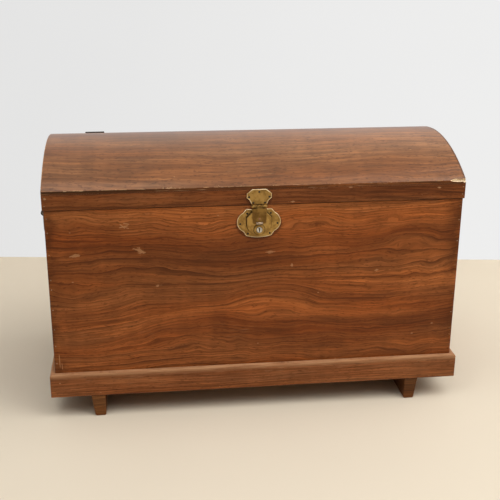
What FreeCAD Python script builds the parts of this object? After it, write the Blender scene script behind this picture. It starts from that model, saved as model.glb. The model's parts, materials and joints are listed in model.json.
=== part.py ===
"""Dome top trunk: a wooden box on a plinth with two runners, a bent plywood dome lid on iron
strap hinges, a brass hasp lock at the front and an iron drop handle on each end.

Frame: millimetres, +Z up, floor at z = 0, x = 0 in the middle of the width, y = 0 in the
middle of the box's depth, front towards -Y.
"""
import FreeCAD, Part
import Sketcher
import math
import os
import re

doc = FreeCAD.newDocument("DomeTopTrunk")

# Driving dimensions, in millimetres, with angles in degrees
SIZES = {
    # box
    "body_width": 780,
    "body_depth": 382,
    "wall_height": 361,
    "wall_thickness": 12,
    "bottom_thickness": 10,
    "corner_round": 3,
    "rebate_depth": 5,
    # plinth and runners
    "plinth_height": 48,
    "plinth_thickness": 9.5,
    "plinth_top_round": 4,
    "plinth_foot_round": 1.5,
    "runner_height": 44,
    "runner_top_width": 27,
    "runner_bottom_width": 21,
    "runner_inset": 93,
    "runner_setback": 0.5,
    "runner_ease": 2,
    "runner_screw_spacing": 150,
    "runner_screw_depth": 26,
    "runner_screw_hold": 7,
    # lid
    "seam_gap": 0.6,
    "lid_overhang": 2,
    "lid_edge_height": 36,
    "dome_rise": 55,
    "skin_thickness": 6,
    "rail_thickness": 12,
    "lid_end_thickness": 12,
    "lid_ease": 1,
    "glue_line": 0.1,
    # strap hinges
    "hinge_inset": 83.4,
    "strap_width": 39,
    "strap_thickness": 2,
    "strap_round": 8,
    "body_strap_length": 115,
    "dome_strap_length": 80,
    "left_tip_straight": 54,
    "knuckle_radius": 4.6,
    "knuckle_gap": 0.4,
    "hinge_pin_radius": 2.5,
    "hinge_pin_head_radius": 3.8,
    "hinge_pin_head_height": 1.6,
    "hinge_back_gap": 0.3,
    "strap_seat_gap": 0.1,
    "strap_rail_screw_place": 21,
    "strap_dome_screw_place": 14,
    "strap_first_screw_drop": 24,
    "strap_screw_pitch": 34,
    "strap_screw_side": 10,
    # wood screws with round heads
    "screw_head_radius": 3.8,
    "screw_head_height": 1.8,
    "screw_shank_radius": 1.8,
    "screw_length": 9,
    "dome_screw_length": 5.5,
    "screw_hole_gap": 0.15,
    # running fits
    "running_gap": 0.05,
    "side_gap": 0.3,
    # lock plate, heights from the key plug's axis
    "lock_drop": 45.7,
    "lock_plate_thickness": 1.2,
    "lock_plate_top": 38,
    "lock_plate_top_half": 24,
    "lobe_top_half": 29.5,
    "lobe_top": 31.2,
    "lobe_bottom_half": 28,
    "lobe_bottom": 5.3,
    "lobe_radius": 20,
    "lock_plate_bottom_half": 23.7,
    "lock_plate_bottom_corner": 13.3,
    "lock_plate_bottom_radius": 89,
    "lock_plate_ease": 0.5,
    # raised shield of the lock plate
    "boss_height": 6,
    "boss_half": 23.2,
    "boss_top_half": 13.5,
    "boss_top": 33.1,
    "boss_shoulder": 23.2,
    "boss_side_end": 9.8,
    "boss_bottom_radius": 23.3,
    "boss_round": 1.1,
    # lock works
    "cover_thickness": 1.2,
    "cover_margin": 0.8,
    "collar_radius": 9.8,
    "collar_thickness": 2,
    "barrel_radius": 7,
    "barrel_reach": 4,
    "plug_radius": 5.5,
    "plug_proud": 0.8,
    "keyway_width": 1.7,
    "keyway_height": 7.4,
    "keyway_depth": 4.5,
    "tail_width": 4.4,
    "tail_end_gap": 0.3,
    "cam_thickness": 1.8,
    "cam_hub_radius": 4.6,
    "lug_orbit": 10.5,
    "lug_radius": 1.5,
    "lug_play": 0.4,
    "key_turn": 80,
    "bolt_thickness": 2,
    "bolt_fork_bottom": 7.4,
    "bolt_fork_top": 15.2,
    "bolt_fork_half": 4.6,
    "bolt_finger_bottom": 18.7,
    "bolt_finger_top": 22.7,
    "bolt_column_width": 3.8,
    "bolt_tip_gap": 0.8,
    "bolt_column_gap": 0.5,
    # hasp on the lid
    "hasp_plate_thickness": 1.2,
    "hasp_plate_top": 76.2,
    "hasp_plate_top_half": 12.4,
    "hasp_plate_half": 23,
    "hasp_plate_shoulder": 68.2,
    "hasp_plate_waist": 59.8,
    "hasp_plate_foot_half": 14.4,
    "hasp_side_radius": 16,
    "hasp_axis": 44.2,
    "hasp_knuckle_radius": 2.9,
    "hasp_pin_radius": 1.4,
    "hasp_middle_width": 11,
    "flap_thickness": 1.6,
    "flap_top_half": 13.5,
    "flap_bottom_half": 12.5,
    "flap_bottom": 11.7,
    "flap_corner_round": 3,
    "lip_half": 6.4,
    "lip_reach": 4.5,
    "lip_thickness": 1.6,
    "staple_thickness": 2.4,
    "staple_bottom": 16.2,
    "staple_top": 25.2,
    "staple_play": 0.5,
    "slot_sill": 0.6,
    # plate pins and where they go, from the middle and from the key plug's axis
    "top_pin_half": 22,
    "top_pin": 29.7,
    "side_pin_half": 35,
    "side_pin": 9.7,
    "low_pin_half": 20.6,
    "low_pin_drop": 9.3,
    "hasp_top_pin": 71,
    "hasp_side_pin_half": 18.8,
    "hasp_side_pin": 61.5,
    "hasp_low_pin_half": 11,
    "hasp_low_pin": 50.4,
    "pin_head_radius": 1.7,
    "pin_head_height": 0.8,
    "pin_shank_radius": 0.8,
    "pin_length": 8,
    "pin_hole_gap": 0.1,
    # end handles
    "handle_drop": 45,
    "handle_plate_length": 136,
    "handle_plate_height": 34,
    "handle_plate_thickness": 2.5,
    "handle_plate_round": 9,
    "handle_screw_side": 9,
    "handle_screw_end": 9,
    "ear_inset": 18,
    "ear_thickness": 8,
    "ear_radius": 6,
    "ear_root_half": 9,
    "bail_standoff": 14,
    "bail_radius": 3.75,
    "bail_bend": 7,
    "bail_corner": 14,
    "bail_drop": 45,
    "grip_length": 50,
    "grip_radius": 5.4,
    # how far cuts run past the wood or metal they go through
    "overrun": 2,
}

# Places and sizes that follow from the driving dimensions
PLACES = {
    "half_width": "body_width / 2",
    "half_depth": "body_depth / 2",
    "wall_foot": "runner_height + bottom_thickness",
    "rim": "wall_foot + wall_height",
    "inner_half_width": "half_width - wall_thickness",
    "inner_half_depth": "half_depth - wall_thickness",
    "rebate_half_depth": "inner_half_depth + rebate_depth",
    "runner_place": "half_width - runner_inset",
    "runner_length": "body_depth + 2 * (plinth_thickness - runner_setback)",
    "lid_foot": "rim + seam_gap",
    "lid_half_width": "half_width + lid_overhang",
    "lid_front": "0 - half_depth - lid_overhang",
    "lid_back": "half_depth",
    "lid_middle": "(lid_front + lid_back) / 2",
    "dome_half_chord": "(lid_back - lid_front) / 2",
    "dome_edge": "lid_foot + lid_edge_height",
    "dome_radius": "(dome_half_chord ^ 2 + dome_rise ^ 2) / (2 * dome_rise)",
    "dome_centre": "dome_edge + dome_rise - dome_radius",
    "soffit_radius": "dome_radius - skin_thickness",
    "bed_radius": "soffit_radius - glue_line",
    "hinge_place": "half_width - hinge_inset",
    "hinge_standoff": "knuckle_radius + hinge_back_gap",
    "hinge_axis_depth": "half_depth + hinge_standoff",
    "hinge_axis_height": "rim + seam_gap / 2",
    "knuckle_width": "strap_width / 3",
    "knuckle_bore": "hinge_pin_radius + running_gap",
    "strap_start": "knuckle_radius + knuckle_gap",
    "strap_bed": "dome_radius + strap_seat_gap",
    "edge_angle": "asin(dome_half_chord / dome_radius) / 1 deg",
    "turn_per_length": "180 / (pi * dome_radius)",
    "dome_screw_angle": "edge_angle - strap_dome_screw_place * turn_per_length",
    "lock_height": "rim - lock_drop",
    "lock_face": "half_depth + lock_plate_thickness + boss_height",
    "lock_inside": "lock_face - lock_plate_thickness",
    "lug_half_turn": "key_turn / 2",
    "bolt_travel": "2 * lug_orbit * sin(lug_half_turn)",
    "bolt_rest": "0 - bolt_travel / 2",
    "bolt_tip": "0 - bolt_rest - staple_thickness / 2 - bolt_tip_gap",
    "bolt_column": "0 - bolt_travel / 2 - staple_thickness / 2 - bolt_column_gap",
    "bolt_face": "lock_inside - side_gap",
    "hasp_axis_depth": "0 - lid_front + side_gap + hasp_knuckle_radius",
    "hasp_axis_height": "lock_height + hasp_axis",
    "hasp_bore": "hasp_pin_radius + running_gap",
    "hasp_plate_foot": "hasp_axis + hasp_knuckle_radius",
    "flap_top": "hasp_axis - hasp_knuckle_radius - 2 * side_gap",
    "cam_face": "lock_face - barrel_reach - side_gap",
    "shoulder_share": "tan(45 / 2)",
    "flap_back": "lock_face + side_gap",
    "flap_front": "flap_back + flap_thickness",
    "staple_tip": "half_depth + lock_plate_thickness + slot_sill + side_gap",
    "handle_height": "rim - handle_drop",
    "handle_face": "half_width + handle_plate_thickness",
    "bail_axis": "half_width + bail_standoff",
    "ear_place": "handle_plate_length / 2 - ear_inset",
    "ear_inner": "ear_place - ear_thickness / 2",
    "ear_outer": "ear_place + ear_thickness / 2",
    "bail_leg": "ear_inner - side_gap - bail_bend",
    "ear_bore": "bail_radius + running_gap",
    "grip_swell": "grip_radius - bail_radius / 2",
    "grip_arc": "((grip_length / 2) ^ 2 + grip_swell ^ 2) / (2 * grip_swell)",
}


def formula(words):
    """A formula in plain names, as the document's expressions write it."""

    def full_name(match):
        name = match.group(0)
        if name in SIZES:
            return "Sizes." + name
        if name in PLACES:
            return "Places." + name
        return name

    return re.sub(r"[a-z_][a-z0-9_]*", full_name, words)


def fill_sheet(name, cells):
    """A sheet with one named cell for each size."""
    sheet = doc.addObject("Spreadsheet::Sheet", name)
    for row, (alias, content) in enumerate(cells.items(), start=1):
        sheet.set(f"A{row}", alias)
        sheet.set(f"B{row}", content)
        sheet.setAlias(f"B{row}", alias)
    return sheet


sizes_sheet = fill_sheet("Sizes", {name: str(number) for name, number in SIZES.items()})
places_sheet = fill_sheet("Places", {name: "=" + formula(words) for name, words in PLACES.items()})
doc.recompute()


def value(words):
    """The number that a formula gives now."""
    return float(sizes_sheet.evalExpression(formula(str(words))))


# Sketch and feature helpers
def new_body(label):
    body = doc.addObject("PartDesign::Body", label)
    body.Label = label
    return body


def new_sketch(body, name, plane, offset="0", rise="0"):
    """A sketch on one of the body's own origin planes, moved along the plane's normal."""
    sketch = body.newObject("Sketcher::SketchObject", name)
    support = next(item for item in body.Origin.OriginFeatures if item.Role == plane)
    sketch.AttachmentSupport = [(support, "")]
    sketch.MapMode = "FlatFace"
    sketch.setExpression("AttachmentOffset.Base.z", formula(offset))
    sketch.setExpression("AttachmentOffset.Base.y", formula(rise))
    return sketch


def fix_point(sketch, item, end, place):
    """Holds one end of a line or arc, or a circle's centre, at a place given by two formulas."""
    for direction, words in zip(("DistanceX", "DistanceY"), place):
        rule = sketch.addConstraint(Sketcher.Constraint(direction, -1, 1, item, end, value(words)))
        sketch.setExpression(f"Constraints[{rule}]", formula(str(words)))


def draw_outline(sketch, corners, bends=None, closed=True):
    """Lines from corner to corner. bends gives the run after a corner a radius, positive when
    its centre lies to the left of the way the outline runs and negative when to the right."""
    bends = bends or {}
    spots = [FreeCAD.Vector(value(across), value(up), 0) for across, up in corners]
    runs = len(corners) if closed else len(corners) - 1
    items = []
    for run in range(runs):
        start = spots[run]
        stop = spots[(run + 1) % len(spots)]
        if run not in bends:
            item = sketch.addGeometry(Part.LineSegment(start, stop), False)
            items.append((item, 1, 2))
            continue
        side, radius_words = bends[run]
        radius = value(radius_words)
        chord = stop - start
        lift = math.sqrt(max(radius ** 2 - (chord.Length / 2) ** 2, 0))
        left = FreeCAD.Vector(-chord.y, chord.x, 0).normalize()
        centre = (start + stop) * 0.5 + left * (side * lift)
        first, last = (start, stop) if side > 0 else (stop, start)
        first_angle = math.atan2(first.y - centre.y, first.x - centre.x)
        last_angle = math.atan2(last.y - centre.y, last.x - centre.x)
        circle = Part.Circle(centre, FreeCAD.Vector(0, 0, 1), radius)
        item = sketch.addGeometry(Part.ArcOfCircle(circle, first_angle, last_angle), False)
        items.append((item, 1, 2) if side > 0 else (item, 2, 1))
        rule = sketch.addConstraint(Sketcher.Constraint("Radius", item, radius))
        sketch.setExpression(f"Constraints[{rule}]", formula(radius_words))
    for run, (item, start_end, stop_end) in enumerate(items):
        fix_point(sketch, item, start_end, corners[run])
        if run + 1 < len(items) or closed:
            next_item, next_start, _ = items[(run + 1) % len(items)]
            sketch.addConstraint(
                Sketcher.Constraint("Coincident", item, stop_end, next_item, next_start))
        else:
            fix_point(sketch, item, stop_end, corners[-1])
    return items


def draw_rectangle(sketch, left, bottom, right, top):
    return draw_outline(sketch, [(left, bottom), (right, bottom), (right, top), (left, top)])


def draw_circle(sketch, place, radius_words):
    centre = FreeCAD.Vector(value(place[0]), value(place[1]), 0)
    circle = Part.Circle(centre, FreeCAD.Vector(0, 0, 1), value(radius_words))
    item = sketch.addGeometry(circle, False)
    fix_point(sketch, item, 3, place)
    rule = sketch.addConstraint(Sketcher.Constraint("Radius", item, value(radius_words)))
    sketch.setExpression(f"Constraints[{rule}]", formula(radius_words))


def mirrored_outline(right_half, bends=None):
    """Corners of an outline that is the same left and right, from its right half, run upwards."""
    bends = bends or {}
    left_half = [(f"0 - ({across})", up) for across, up in reversed(right_half)]
    last = len(right_half) - 1
    both = dict(bends)
    for run, bend in bends.items():
        if run < last:
            both[2 * last - run] = bend
    return right_half + left_half, both


def add_pad(body, sketch, length, symmetric=False, reverse=False):
    pad = body.newObject("PartDesign::Pad", sketch.Name + "Pad")
    pad.Profile = sketch
    pad.setExpression("Length", formula(length))
    pad.SideType = "Symmetric" if symmetric else "One side"
    pad.Reversed = reverse
    doc.recompute()
    return pad


def add_pocket(body, sketch, length, reverse=False):
    """Cuts the sketch's outline and makes sure that it took something away."""
    before = body.Shape.Volume
    pocket = body.newObject("PartDesign::Pocket", sketch.Name + "Pocket")
    pocket.Profile = sketch
    pocket.setExpression("Length", formula(length))
    pocket.Reversed = reverse
    doc.recompute()
    if not body.Shape.Volume < before:
        raise RuntimeError(sketch.Name + " cuts nothing from " + body.Label)
    return pocket


def add_mirror(body, features, plane):
    mirror = body.newObject("PartDesign::Mirrored", body.Label + "Mirror")
    mirror.Originals = features
    support = next(item for item in body.Origin.OriginFeatures if item.Role == plane)
    mirror.MirrorPlane = (support, [""])
    body.Tip = mirror
    doc.recompute()
    return mirror


def add_revolution(body, sketch):
    turned = body.newObject("PartDesign::Revolution", sketch.Name + "Turned")
    turned.Profile = sketch
    turned.ReferenceAxis = (sketch, ["H_Axis"])
    turned.Angle = 360
    doc.recompute()
    return turned


def place_body(body, across="0", along="0", up="0", turn=0):
    """Puts a body that was drawn about its own origin where it belongs."""
    body.Placement = FreeCAD.Placement(
        FreeCAD.Vector(0, 0, 0), FreeCAD.Rotation(FreeCAD.Vector(0, 0, 1), turn))
    for axis, words in zip("xyz", (across, along, up)):
        body.setExpression(f"Placement.Base.{axis}", formula(words))


def round_front_edges(body, feature, radius):
    """Rounds every edge of the face of a feature that lies furthest to the front."""
    faces = feature.Shape.Faces
    front = min(range(len(faces)), key=lambda index: faces[index].BoundBox.YMax)
    fillet = body.newObject("PartDesign::Fillet", feature.Name + "Round")
    fillet.Base = (feature, [f"Face{front + 1}"])
    fillet.setExpression("Radius", formula(radius))
    doc.recompute()
    return fillet


# Box walls: front and back lap over the ends in a rebate, outer corners eased
def long_wall(label, side):
    body = new_body(label)
    plan = new_sketch(body, label + "_plan", "XY_Plane", "wall_foot")
    outer = f"{side} * half_depth"
    eased = f"{side} * (half_depth - corner_round)"
    rebate = f"{side} * rebate_half_depth"
    inner = f"{side} * inner_half_depth"
    right_half = [
        ("half_width - corner_round", outer),
        ("half_width", eased),
        ("half_width", rebate),
        ("inner_half_width", rebate),
        ("inner_half_width", inner),
    ]
    corners, bends = mirrored_outline(right_half, {0: (-side, "corner_round")})
    draw_outline(plan, corners, bends)
    add_pad(body, plan, "wall_height")
    return body


front_panel = long_wall("front_panel", -1)


def draw_cover(sketch, margin):
    """The lock's back cover, a little larger than the hollow of the shield."""
    draw_rectangle(
        sketch,
        f"0 - boss_half - ({margin})",
        f"lock_height - lock_plate_bottom_corner + cover_margin - ({margin})",
        f"boss_half + {margin}",
        f"lock_height + boss_top + {margin}",
    )


cover_recess = new_sketch(front_panel, "cover_recess", "XZ_Plane", "half_depth")
draw_cover(cover_recess, "cover_margin + running_gap")
add_pocket(front_panel, cover_recess, "cover_thickness")

back_panel = long_wall("back_panel", 1)


def end_wall(label, side):
    body = new_body(label)
    plan = new_sketch(body, label + "_plan", "XY_Plane", "wall_foot")
    outer = f"{side} * half_width"
    inner = f"{side} * inner_half_width"
    draw_rectangle(plan, inner, "0 - rebate_half_depth", outer, "rebate_half_depth")
    add_pad(body, plan, "wall_height")
    return body


left_end_panel = end_wall("left_end_panel", -1)
right_end_panel = end_wall("right_end_panel", 1)

# Bottom board: as large as the box, so the walls stand on it
bottom_panel = new_body("bottom_panel")
bottom_plan = new_sketch(bottom_panel, "bottom_plan", "XY_Plane", "runner_height")
bottom_half = [
    ("half_width - corner_round", "0 - half_depth"),
    ("half_width", "corner_round - half_depth"),
    ("half_width", "half_depth - corner_round"),
    ("half_width - corner_round", "half_depth"),
]
bottom_bends = {0: (1, "corner_round"), 2: (1, "corner_round")}
draw_outline(bottom_plan, *mirrored_outline(bottom_half, bottom_bends))
add_pad(bottom_panel, bottom_plan, "bottom_thickness")


# Plinth: four mitred mouldings round the foot of the box
def plinth_rail(label, half_run, half_reach, turn):
    body = new_body(label)
    section = new_sketch(body, label + "_section", "YZ_Plane")
    inner = f"0 - {half_reach}"
    outer = f"0 - {half_reach} - plinth_thickness"
    top = "runner_height + plinth_height"
    corners = [
        (inner, "runner_height"),
        (inner, top),
        (f"{outer} + plinth_top_round", top),
        (outer, f"{top} - plinth_top_round"),
        (outer, "runner_height + plinth_foot_round"),
        (f"{outer} + plinth_foot_round", "runner_height"),
    ]
    draw_outline(section, corners, {2: (1, "plinth_top_round"), 4: (1, "plinth_foot_round")})
    add_pad(body, section, f"2 * ({half_run} + plinth_thickness)", symmetric=True)
    mitre = new_sketch(body, label + "_mitre", "XY_Plane", "runner_height - overrun")
    for end in (-1, 1):
        inner_end = f"{end} * ({half_run} - overrun)"
        outer_end = f"{end} * ({half_run} + plinth_thickness + overrun)"
        draw_outline(mitre, [
            (inner_end, f"0 - {half_reach} + overrun"),
            (outer_end, f"0 - {half_reach} + overrun"),
            (outer_end, f"0 - {half_reach} - plinth_thickness - overrun"),
        ])
    add_pocket(body, mitre, "plinth_height + 2 * overrun", reverse=True)
    place_body(body, turn=turn)
    return body


plinth_front = plinth_rail("plinth_front", "half_width", "half_depth", 0)
plinth_right = plinth_rail("plinth_right", "half_depth", "half_width", 90)
plinth_back = plinth_rail("plinth_back", "half_width", "half_depth", 180)
plinth_left = plinth_rail("plinth_left", "half_depth", "half_width", 270)


# Runners: two bearers from front to back, bevelled on the outside, screwed up into the bottom
RUNNER_SCREW_SHARES = (-1, 0, 1)


def runner(label, side):
    body = new_body(label)
    section = new_sketch(body, label + "_section", "XZ_Plane")
    inner = f"{side} * runner_place"
    draw_outline(section, [
        (inner, "runner_height"),
        (f"{side} * (runner_place + runner_top_width)", "runner_height"),
        (f"{side} * (runner_place + runner_bottom_width)", "runner_ease"),
        (f"{side} * (runner_place + runner_bottom_width - runner_ease)", "0"),
        (f"{side} * (runner_place + runner_ease)", "0"),
        (inner, "runner_ease"),
    ])
    add_pad(body, section, "runner_length", symmetric=True)
    screw_line = f"{side} * (runner_place + runner_bottom_width / 2)"
    head_holes = new_sketch(body, label + "_head_holes", "XY_Plane")
    shank_holes = new_sketch(body, label + "_shank_holes", "XY_Plane")
    for share in RUNNER_SCREW_SHARES:
        spot = (screw_line, f"{share} * runner_screw_spacing")
        draw_circle(head_holes, spot, "screw_head_radius + screw_hole_gap")
        draw_circle(shank_holes, spot, "screw_shank_radius + screw_hole_gap")
    add_pocket(body, head_holes, "runner_screw_depth", reverse=True)
    add_pocket(body, shank_holes, "runner_height + overrun", reverse=True)
    return body


left_runner = runner("left_runner", -1)
right_runner = runner("right_runner", 1)


# Lid frame: rails at front and back with tops bedded to the dome, arched boards between them
def bed_height(depth):
    """Height of the curved bed at a depth, under the dome skin."""
    return f"dome_centre + sqrt(bed_radius ^ 2 - ({depth} - lid_middle) ^ 2)"


lid_front_inner = "lid_front + rail_thickness"
lid_back_inner = "lid_back - rail_thickness"

lid_front_rail = new_body("lid_front_rail")
front_rail_section = new_sketch(lid_front_rail, "front_rail_section", "YZ_Plane")
draw_outline(front_rail_section, [
    ("lid_front + lid_ease", "lid_foot"),
    (lid_front_inner, "lid_foot"),
    (lid_front_inner, bed_height(lid_front_inner)),
    ("lid_front", bed_height("lid_front")),
    ("lid_front", "lid_foot + lid_ease"),
], {2: (1, "bed_radius")})
add_pad(lid_front_rail, front_rail_section, "2 * lid_half_width", symmetric=True)

lid_back_rail = new_body("lid_back_rail")
back_rail_section = new_sketch(lid_back_rail, "back_rail_section", "YZ_Plane")
draw_outline(back_rail_section, [
    (lid_back_inner, "lid_foot"),
    ("lid_back", "lid_foot"),
    ("lid_back", bed_height("lid_back")),
    (lid_back_inner, bed_height(lid_back_inner)),
], {2: (1, "bed_radius")})
add_pad(lid_back_rail, back_rail_section, "2 * lid_half_width", symmetric=True)


def lid_end(label, offset):
    body = new_body(label)
    arch = new_sketch(body, label + "_arch", "YZ_Plane", offset)
    draw_outline(arch, [
        (lid_front_inner, "lid_foot"),
        (lid_back_inner, "lid_foot"),
        (lid_back_inner, bed_height(lid_back_inner)),
        (lid_front_inner, bed_height(lid_front_inner)),
    ], {2: (1, "bed_radius")})
    add_pad(body, arch, "lid_end_thickness")
    return body


lid_left_end = lid_end("lid_left_end", "0 - lid_half_width")
lid_right_end = lid_end("lid_right_end", "lid_half_width - lid_end_thickness")

# Dome skin: plywood bent to one arc and trimmed upright at front and back
lid_dome_skin = new_body("lid_dome_skin")
skin_section = new_sketch(lid_dome_skin, "skin_section", "YZ_Plane")
skin_edge = "dome_centre + sqrt(soffit_radius ^ 2 - dome_half_chord ^ 2)"
draw_outline(skin_section, [
    ("lid_front", skin_edge),
    ("lid_back", skin_edge),
    ("lid_back", "dome_edge"),
    ("lid_front", "dome_edge"),
], {0: (-1, "soffit_radius"), 2: (1, "dome_radius")})
add_pad(lid_dome_skin, skin_section, "2 * lid_half_width", symmetric=True)

# Strap hinges, drawn about the pin's axis with +Y pointing away from the back
KNUCKLE_EDGE = "knuckle_width / 2"


def strap_plate(body, label, direction, length):
    """The flat of a strap, from beside the knuckles to its rounded end."""
    plate = new_sketch(body, label + "_plate", "XZ_Plane", "hinge_standoff - strap_thickness")
    start = f"{direction} * strap_start"
    end = f"{direction} * ({length})"
    round_start = f"{direction} * ({length} - strap_round)"
    right_half = [
        ("strap_width / 2", start),
        ("strap_width / 2", round_start),
        ("strap_width / 2 - strap_round", end),
    ]
    bends = {1: (direction, "strap_round")}
    draw_outline(plate, *mirrored_outline(right_half, bends))
    return add_pad(body, plate, "strap_thickness")


def strap_knuckle(body, label, direction, offset, width, symmetric):
    """A rolled knuckle round the pin and the web that joins it to its strap."""
    ring = new_sketch(body, label + "_ring", "YZ_Plane", offset)
    draw_circle(ring, ("0", "0"), "knuckle_radius")
    draw_circle(ring, ("0", "0"), "knuckle_bore")
    ring_pad = add_pad(body, ring, width, symmetric=symmetric)
    web = new_sketch(body, label + "_web", "YZ_Plane", offset)
    reach = f"{direction} * (strap_start + strap_thickness)"
    draw_rectangle(web, "0 - hinge_standoff", "0", "strap_thickness - hinge_standoff", reach)
    web_pad = add_pad(body, web, width, symmetric=symmetric)
    return [ring_pad, web_pad]


def strap_holes(body, label, spots):
    holes = new_sketch(body, label + "_holes", "XZ_Plane", "hinge_standoff + overrun")
    for spot in spots:
        draw_circle(holes, spot, "screw_shank_radius + screw_hole_gap")
    add_pocket(body, holes, "strap_thickness + 2 * overrun")


BODY_STRAP_SPOTS = [
    ("0 - strap_screw_side", "0 - strap_first_screw_drop"),
    ("strap_screw_side", "0 - strap_first_screw_drop - strap_screw_pitch"),
    ("0 - strap_screw_side", "0 - strap_first_screw_drop - 2 * strap_screw_pitch"),
]
RAIL_SPOTS = [
    ("0 - strap_screw_side", "strap_rail_screw_place"),
    ("strap_screw_side", "strap_rail_screw_place"),
]


def body_strap(label, side):
    body = new_body(label)
    strap_plate(body, label, -1, "body_strap_length")
    outer_start = f"{KNUCKLE_EDGE} + knuckle_gap"
    outer_width = f"strap_width / 2 - {KNUCKLE_EDGE} - knuckle_gap"
    knuckle = strap_knuckle(body, label, -1, outer_start, outer_width, symmetric=False)
    add_mirror(body, knuckle, "YZ_Plane")
    strap_holes(body, label, BODY_STRAP_SPOTS)
    place_body(body, f"{side} * hinge_place", "hinge_axis_depth", "hinge_axis_height")
    return body


def dome_point(angle, radius):
    """A point on a circle about the dome's axis, seen from the hinge pin."""
    across = f"lid_middle - hinge_axis_depth + ({radius}) * sin({angle})"
    up = f"dome_centre - hinge_axis_height + ({radius}) * cos({angle})"
    return across, up


def lid_strap(label, side, straight_tip=None):
    """Runs up the back rail, over the edge and along the dome; a straight tip stands off it."""
    body = new_body(label)
    section = new_sketch(body, label + "_section", "YZ_Plane")
    inner = "strap_bed"
    outer = "strap_bed + strap_thickness"
    inner_face = "0 - hinge_standoff"
    outer_face = "strap_thickness - hinge_standoff"
    drop = "dome_centre - hinge_axis_height"
    inner_edge = f"{drop} + sqrt(({inner}) ^ 2 - dome_half_chord ^ 2)"
    outer_edge = f"{drop} + sqrt(({outer}) ^ 2 - (dome_half_chord + strap_thickness) ^ 2)"
    bent = f"(dome_strap_length - {straight_tip or 0})"
    bend_angle = f"(edge_angle - {bent} * turn_per_length)"
    corners = [
        (inner_face, "strap_start"),
        (outer_face, "strap_start"),
        (outer_face, outer_edge),
        dome_point(bend_angle, outer),
        dome_point(bend_angle, inner),
        (inner_face, inner_edge),
    ]
    bends = {2: (1, outer), 4: (-1, inner)}
    if straight_tip:
        tip_corners = []
        for radius in (outer, inner):
            across, up = dome_point(bend_angle, radius)
            tip_corners.append((
                f"{across} - {straight_tip} * cos({bend_angle})",
                f"{up} + {straight_tip} * sin({bend_angle})",
            ))
        corners[4:4] = tip_corners
        bends = {2: (1, outer), 6: (-1, inner)}
    draw_outline(section, corners, bends)
    add_pad(body, section, "strap_width", symmetric=True)
    strap_knuckle(body, label, 1, "0", "knuckle_width", symmetric=True)
    strap_holes(body, label, RAIL_SPOTS)
    dome_hole = new_sketch(body, label + "_dome_hole", "XY_Plane")
    tilt = FreeCAD.Rotation(FreeCAD.Vector(1, 0, 0), -value("dome_screw_angle"))
    dome_hole.AttachmentOffset = FreeCAD.Placement(FreeCAD.Vector(0, 0, 0), tilt)
    across, up = dome_point("dome_screw_angle", f"{outer} + overrun")
    dome_hole.setExpression("AttachmentOffset.Base.y", formula(across))
    dome_hole.setExpression("AttachmentOffset.Base.z", formula(up))
    draw_circle(dome_hole, ("0", "0"), "screw_shank_radius + screw_hole_gap")
    add_pocket(body, dome_hole, "strap_thickness + 2 * overrun")
    place_body(body, f"{side} * hinge_place", "hinge_axis_depth", "hinge_axis_height")
    return body


def hinge_pin(label, side):
    """A pin turned with a domed head at each end of the knuckles."""
    body = new_body(label)
    profile = new_sketch(body, label + "_profile", "XZ_Plane")
    seat = "strap_width / 2 + running_gap"
    end = f"{seat} + hinge_pin_head_height"
    right_half = [
        (end, "0"),
        (end, "hinge_pin_radius"),
        (seat, "hinge_pin_head_radius"),
        (seat, "hinge_pin_radius"),
    ]
    draw_outline(profile, *mirrored_outline(right_half))
    add_revolution(body, profile)
    place_body(body, f"{side} * hinge_place", "hinge_axis_depth", "hinge_axis_height")
    return body


left_hinge_body_strap = body_strap("left_hinge_body_strap", -1)
right_hinge_body_strap = body_strap("right_hinge_body_strap", 1)
left_hinge_lid_strap = lid_strap("left_hinge_lid_strap", -1, "left_tip_straight")
right_hinge_lid_strap = lid_strap("right_hinge_lid_strap", 1)
left_hinge_pin = hinge_pin("left_hinge_pin", -1)
right_hinge_pin = hinge_pin("right_hinge_pin", 1)

# Lock plate: lobed brass with a raised shield, pressed hollow from behind
lock_plate = new_body("lock_plate")
plate_outline = new_sketch(lock_plate, "plate_outline", "XZ_Plane", "half_depth")
plate_half = [
    ("lock_plate_bottom_half", "lock_height - lock_plate_bottom_corner"),
    ("lobe_bottom_half", "lock_height - lobe_bottom"),
    ("lobe_top_half", "lock_height + lobe_top"),
    ("lock_plate_top_half", "lock_height + lock_plate_top"),
]
plate_corners, plate_bends = mirrored_outline(plate_half, {1: (1, "lobe_radius")})
plate_bends[len(plate_corners) - 1] = (1, "lock_plate_bottom_radius")
draw_outline(plate_outline, plate_corners, plate_bends)
plate_pad = add_pad(lock_plate, plate_outline, "lock_plate_thickness")
round_front_edges(lock_plate, plate_pad, "lock_plate_ease")


def draw_shield(sketch, margin):
    """The shield's outline, drawn in by a margin."""
    half = f"boss_half - {margin}"
    shield_half = [
        (half, "lock_height + boss_side_end"),
        (half, f"lock_height + boss_shoulder - {margin} * shoulder_share"),
        (f"boss_top_half - {margin} * shoulder_share", f"lock_height + boss_top - {margin}"),
    ]
    corners, bends = mirrored_outline(shield_half)
    bends[len(corners) - 1] = (1, f"boss_bottom_radius - {margin}")
    draw_outline(sketch, corners, bends)


boss_outline = new_sketch(lock_plate, "boss_outline", "XZ_Plane", "half_depth")
draw_shield(boss_outline, "0")
boss_pad = add_pad(lock_plate, boss_outline, "lock_plate_thickness + boss_height")
round_front_edges(lock_plate, boss_pad, "boss_round")
hollow = new_sketch(lock_plate, "boss_hollow", "XZ_Plane", "half_depth - overrun")
draw_shield(hollow, "lock_plate_thickness")
add_pocket(lock_plate, hollow, "boss_height + overrun", reverse=True)

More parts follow.
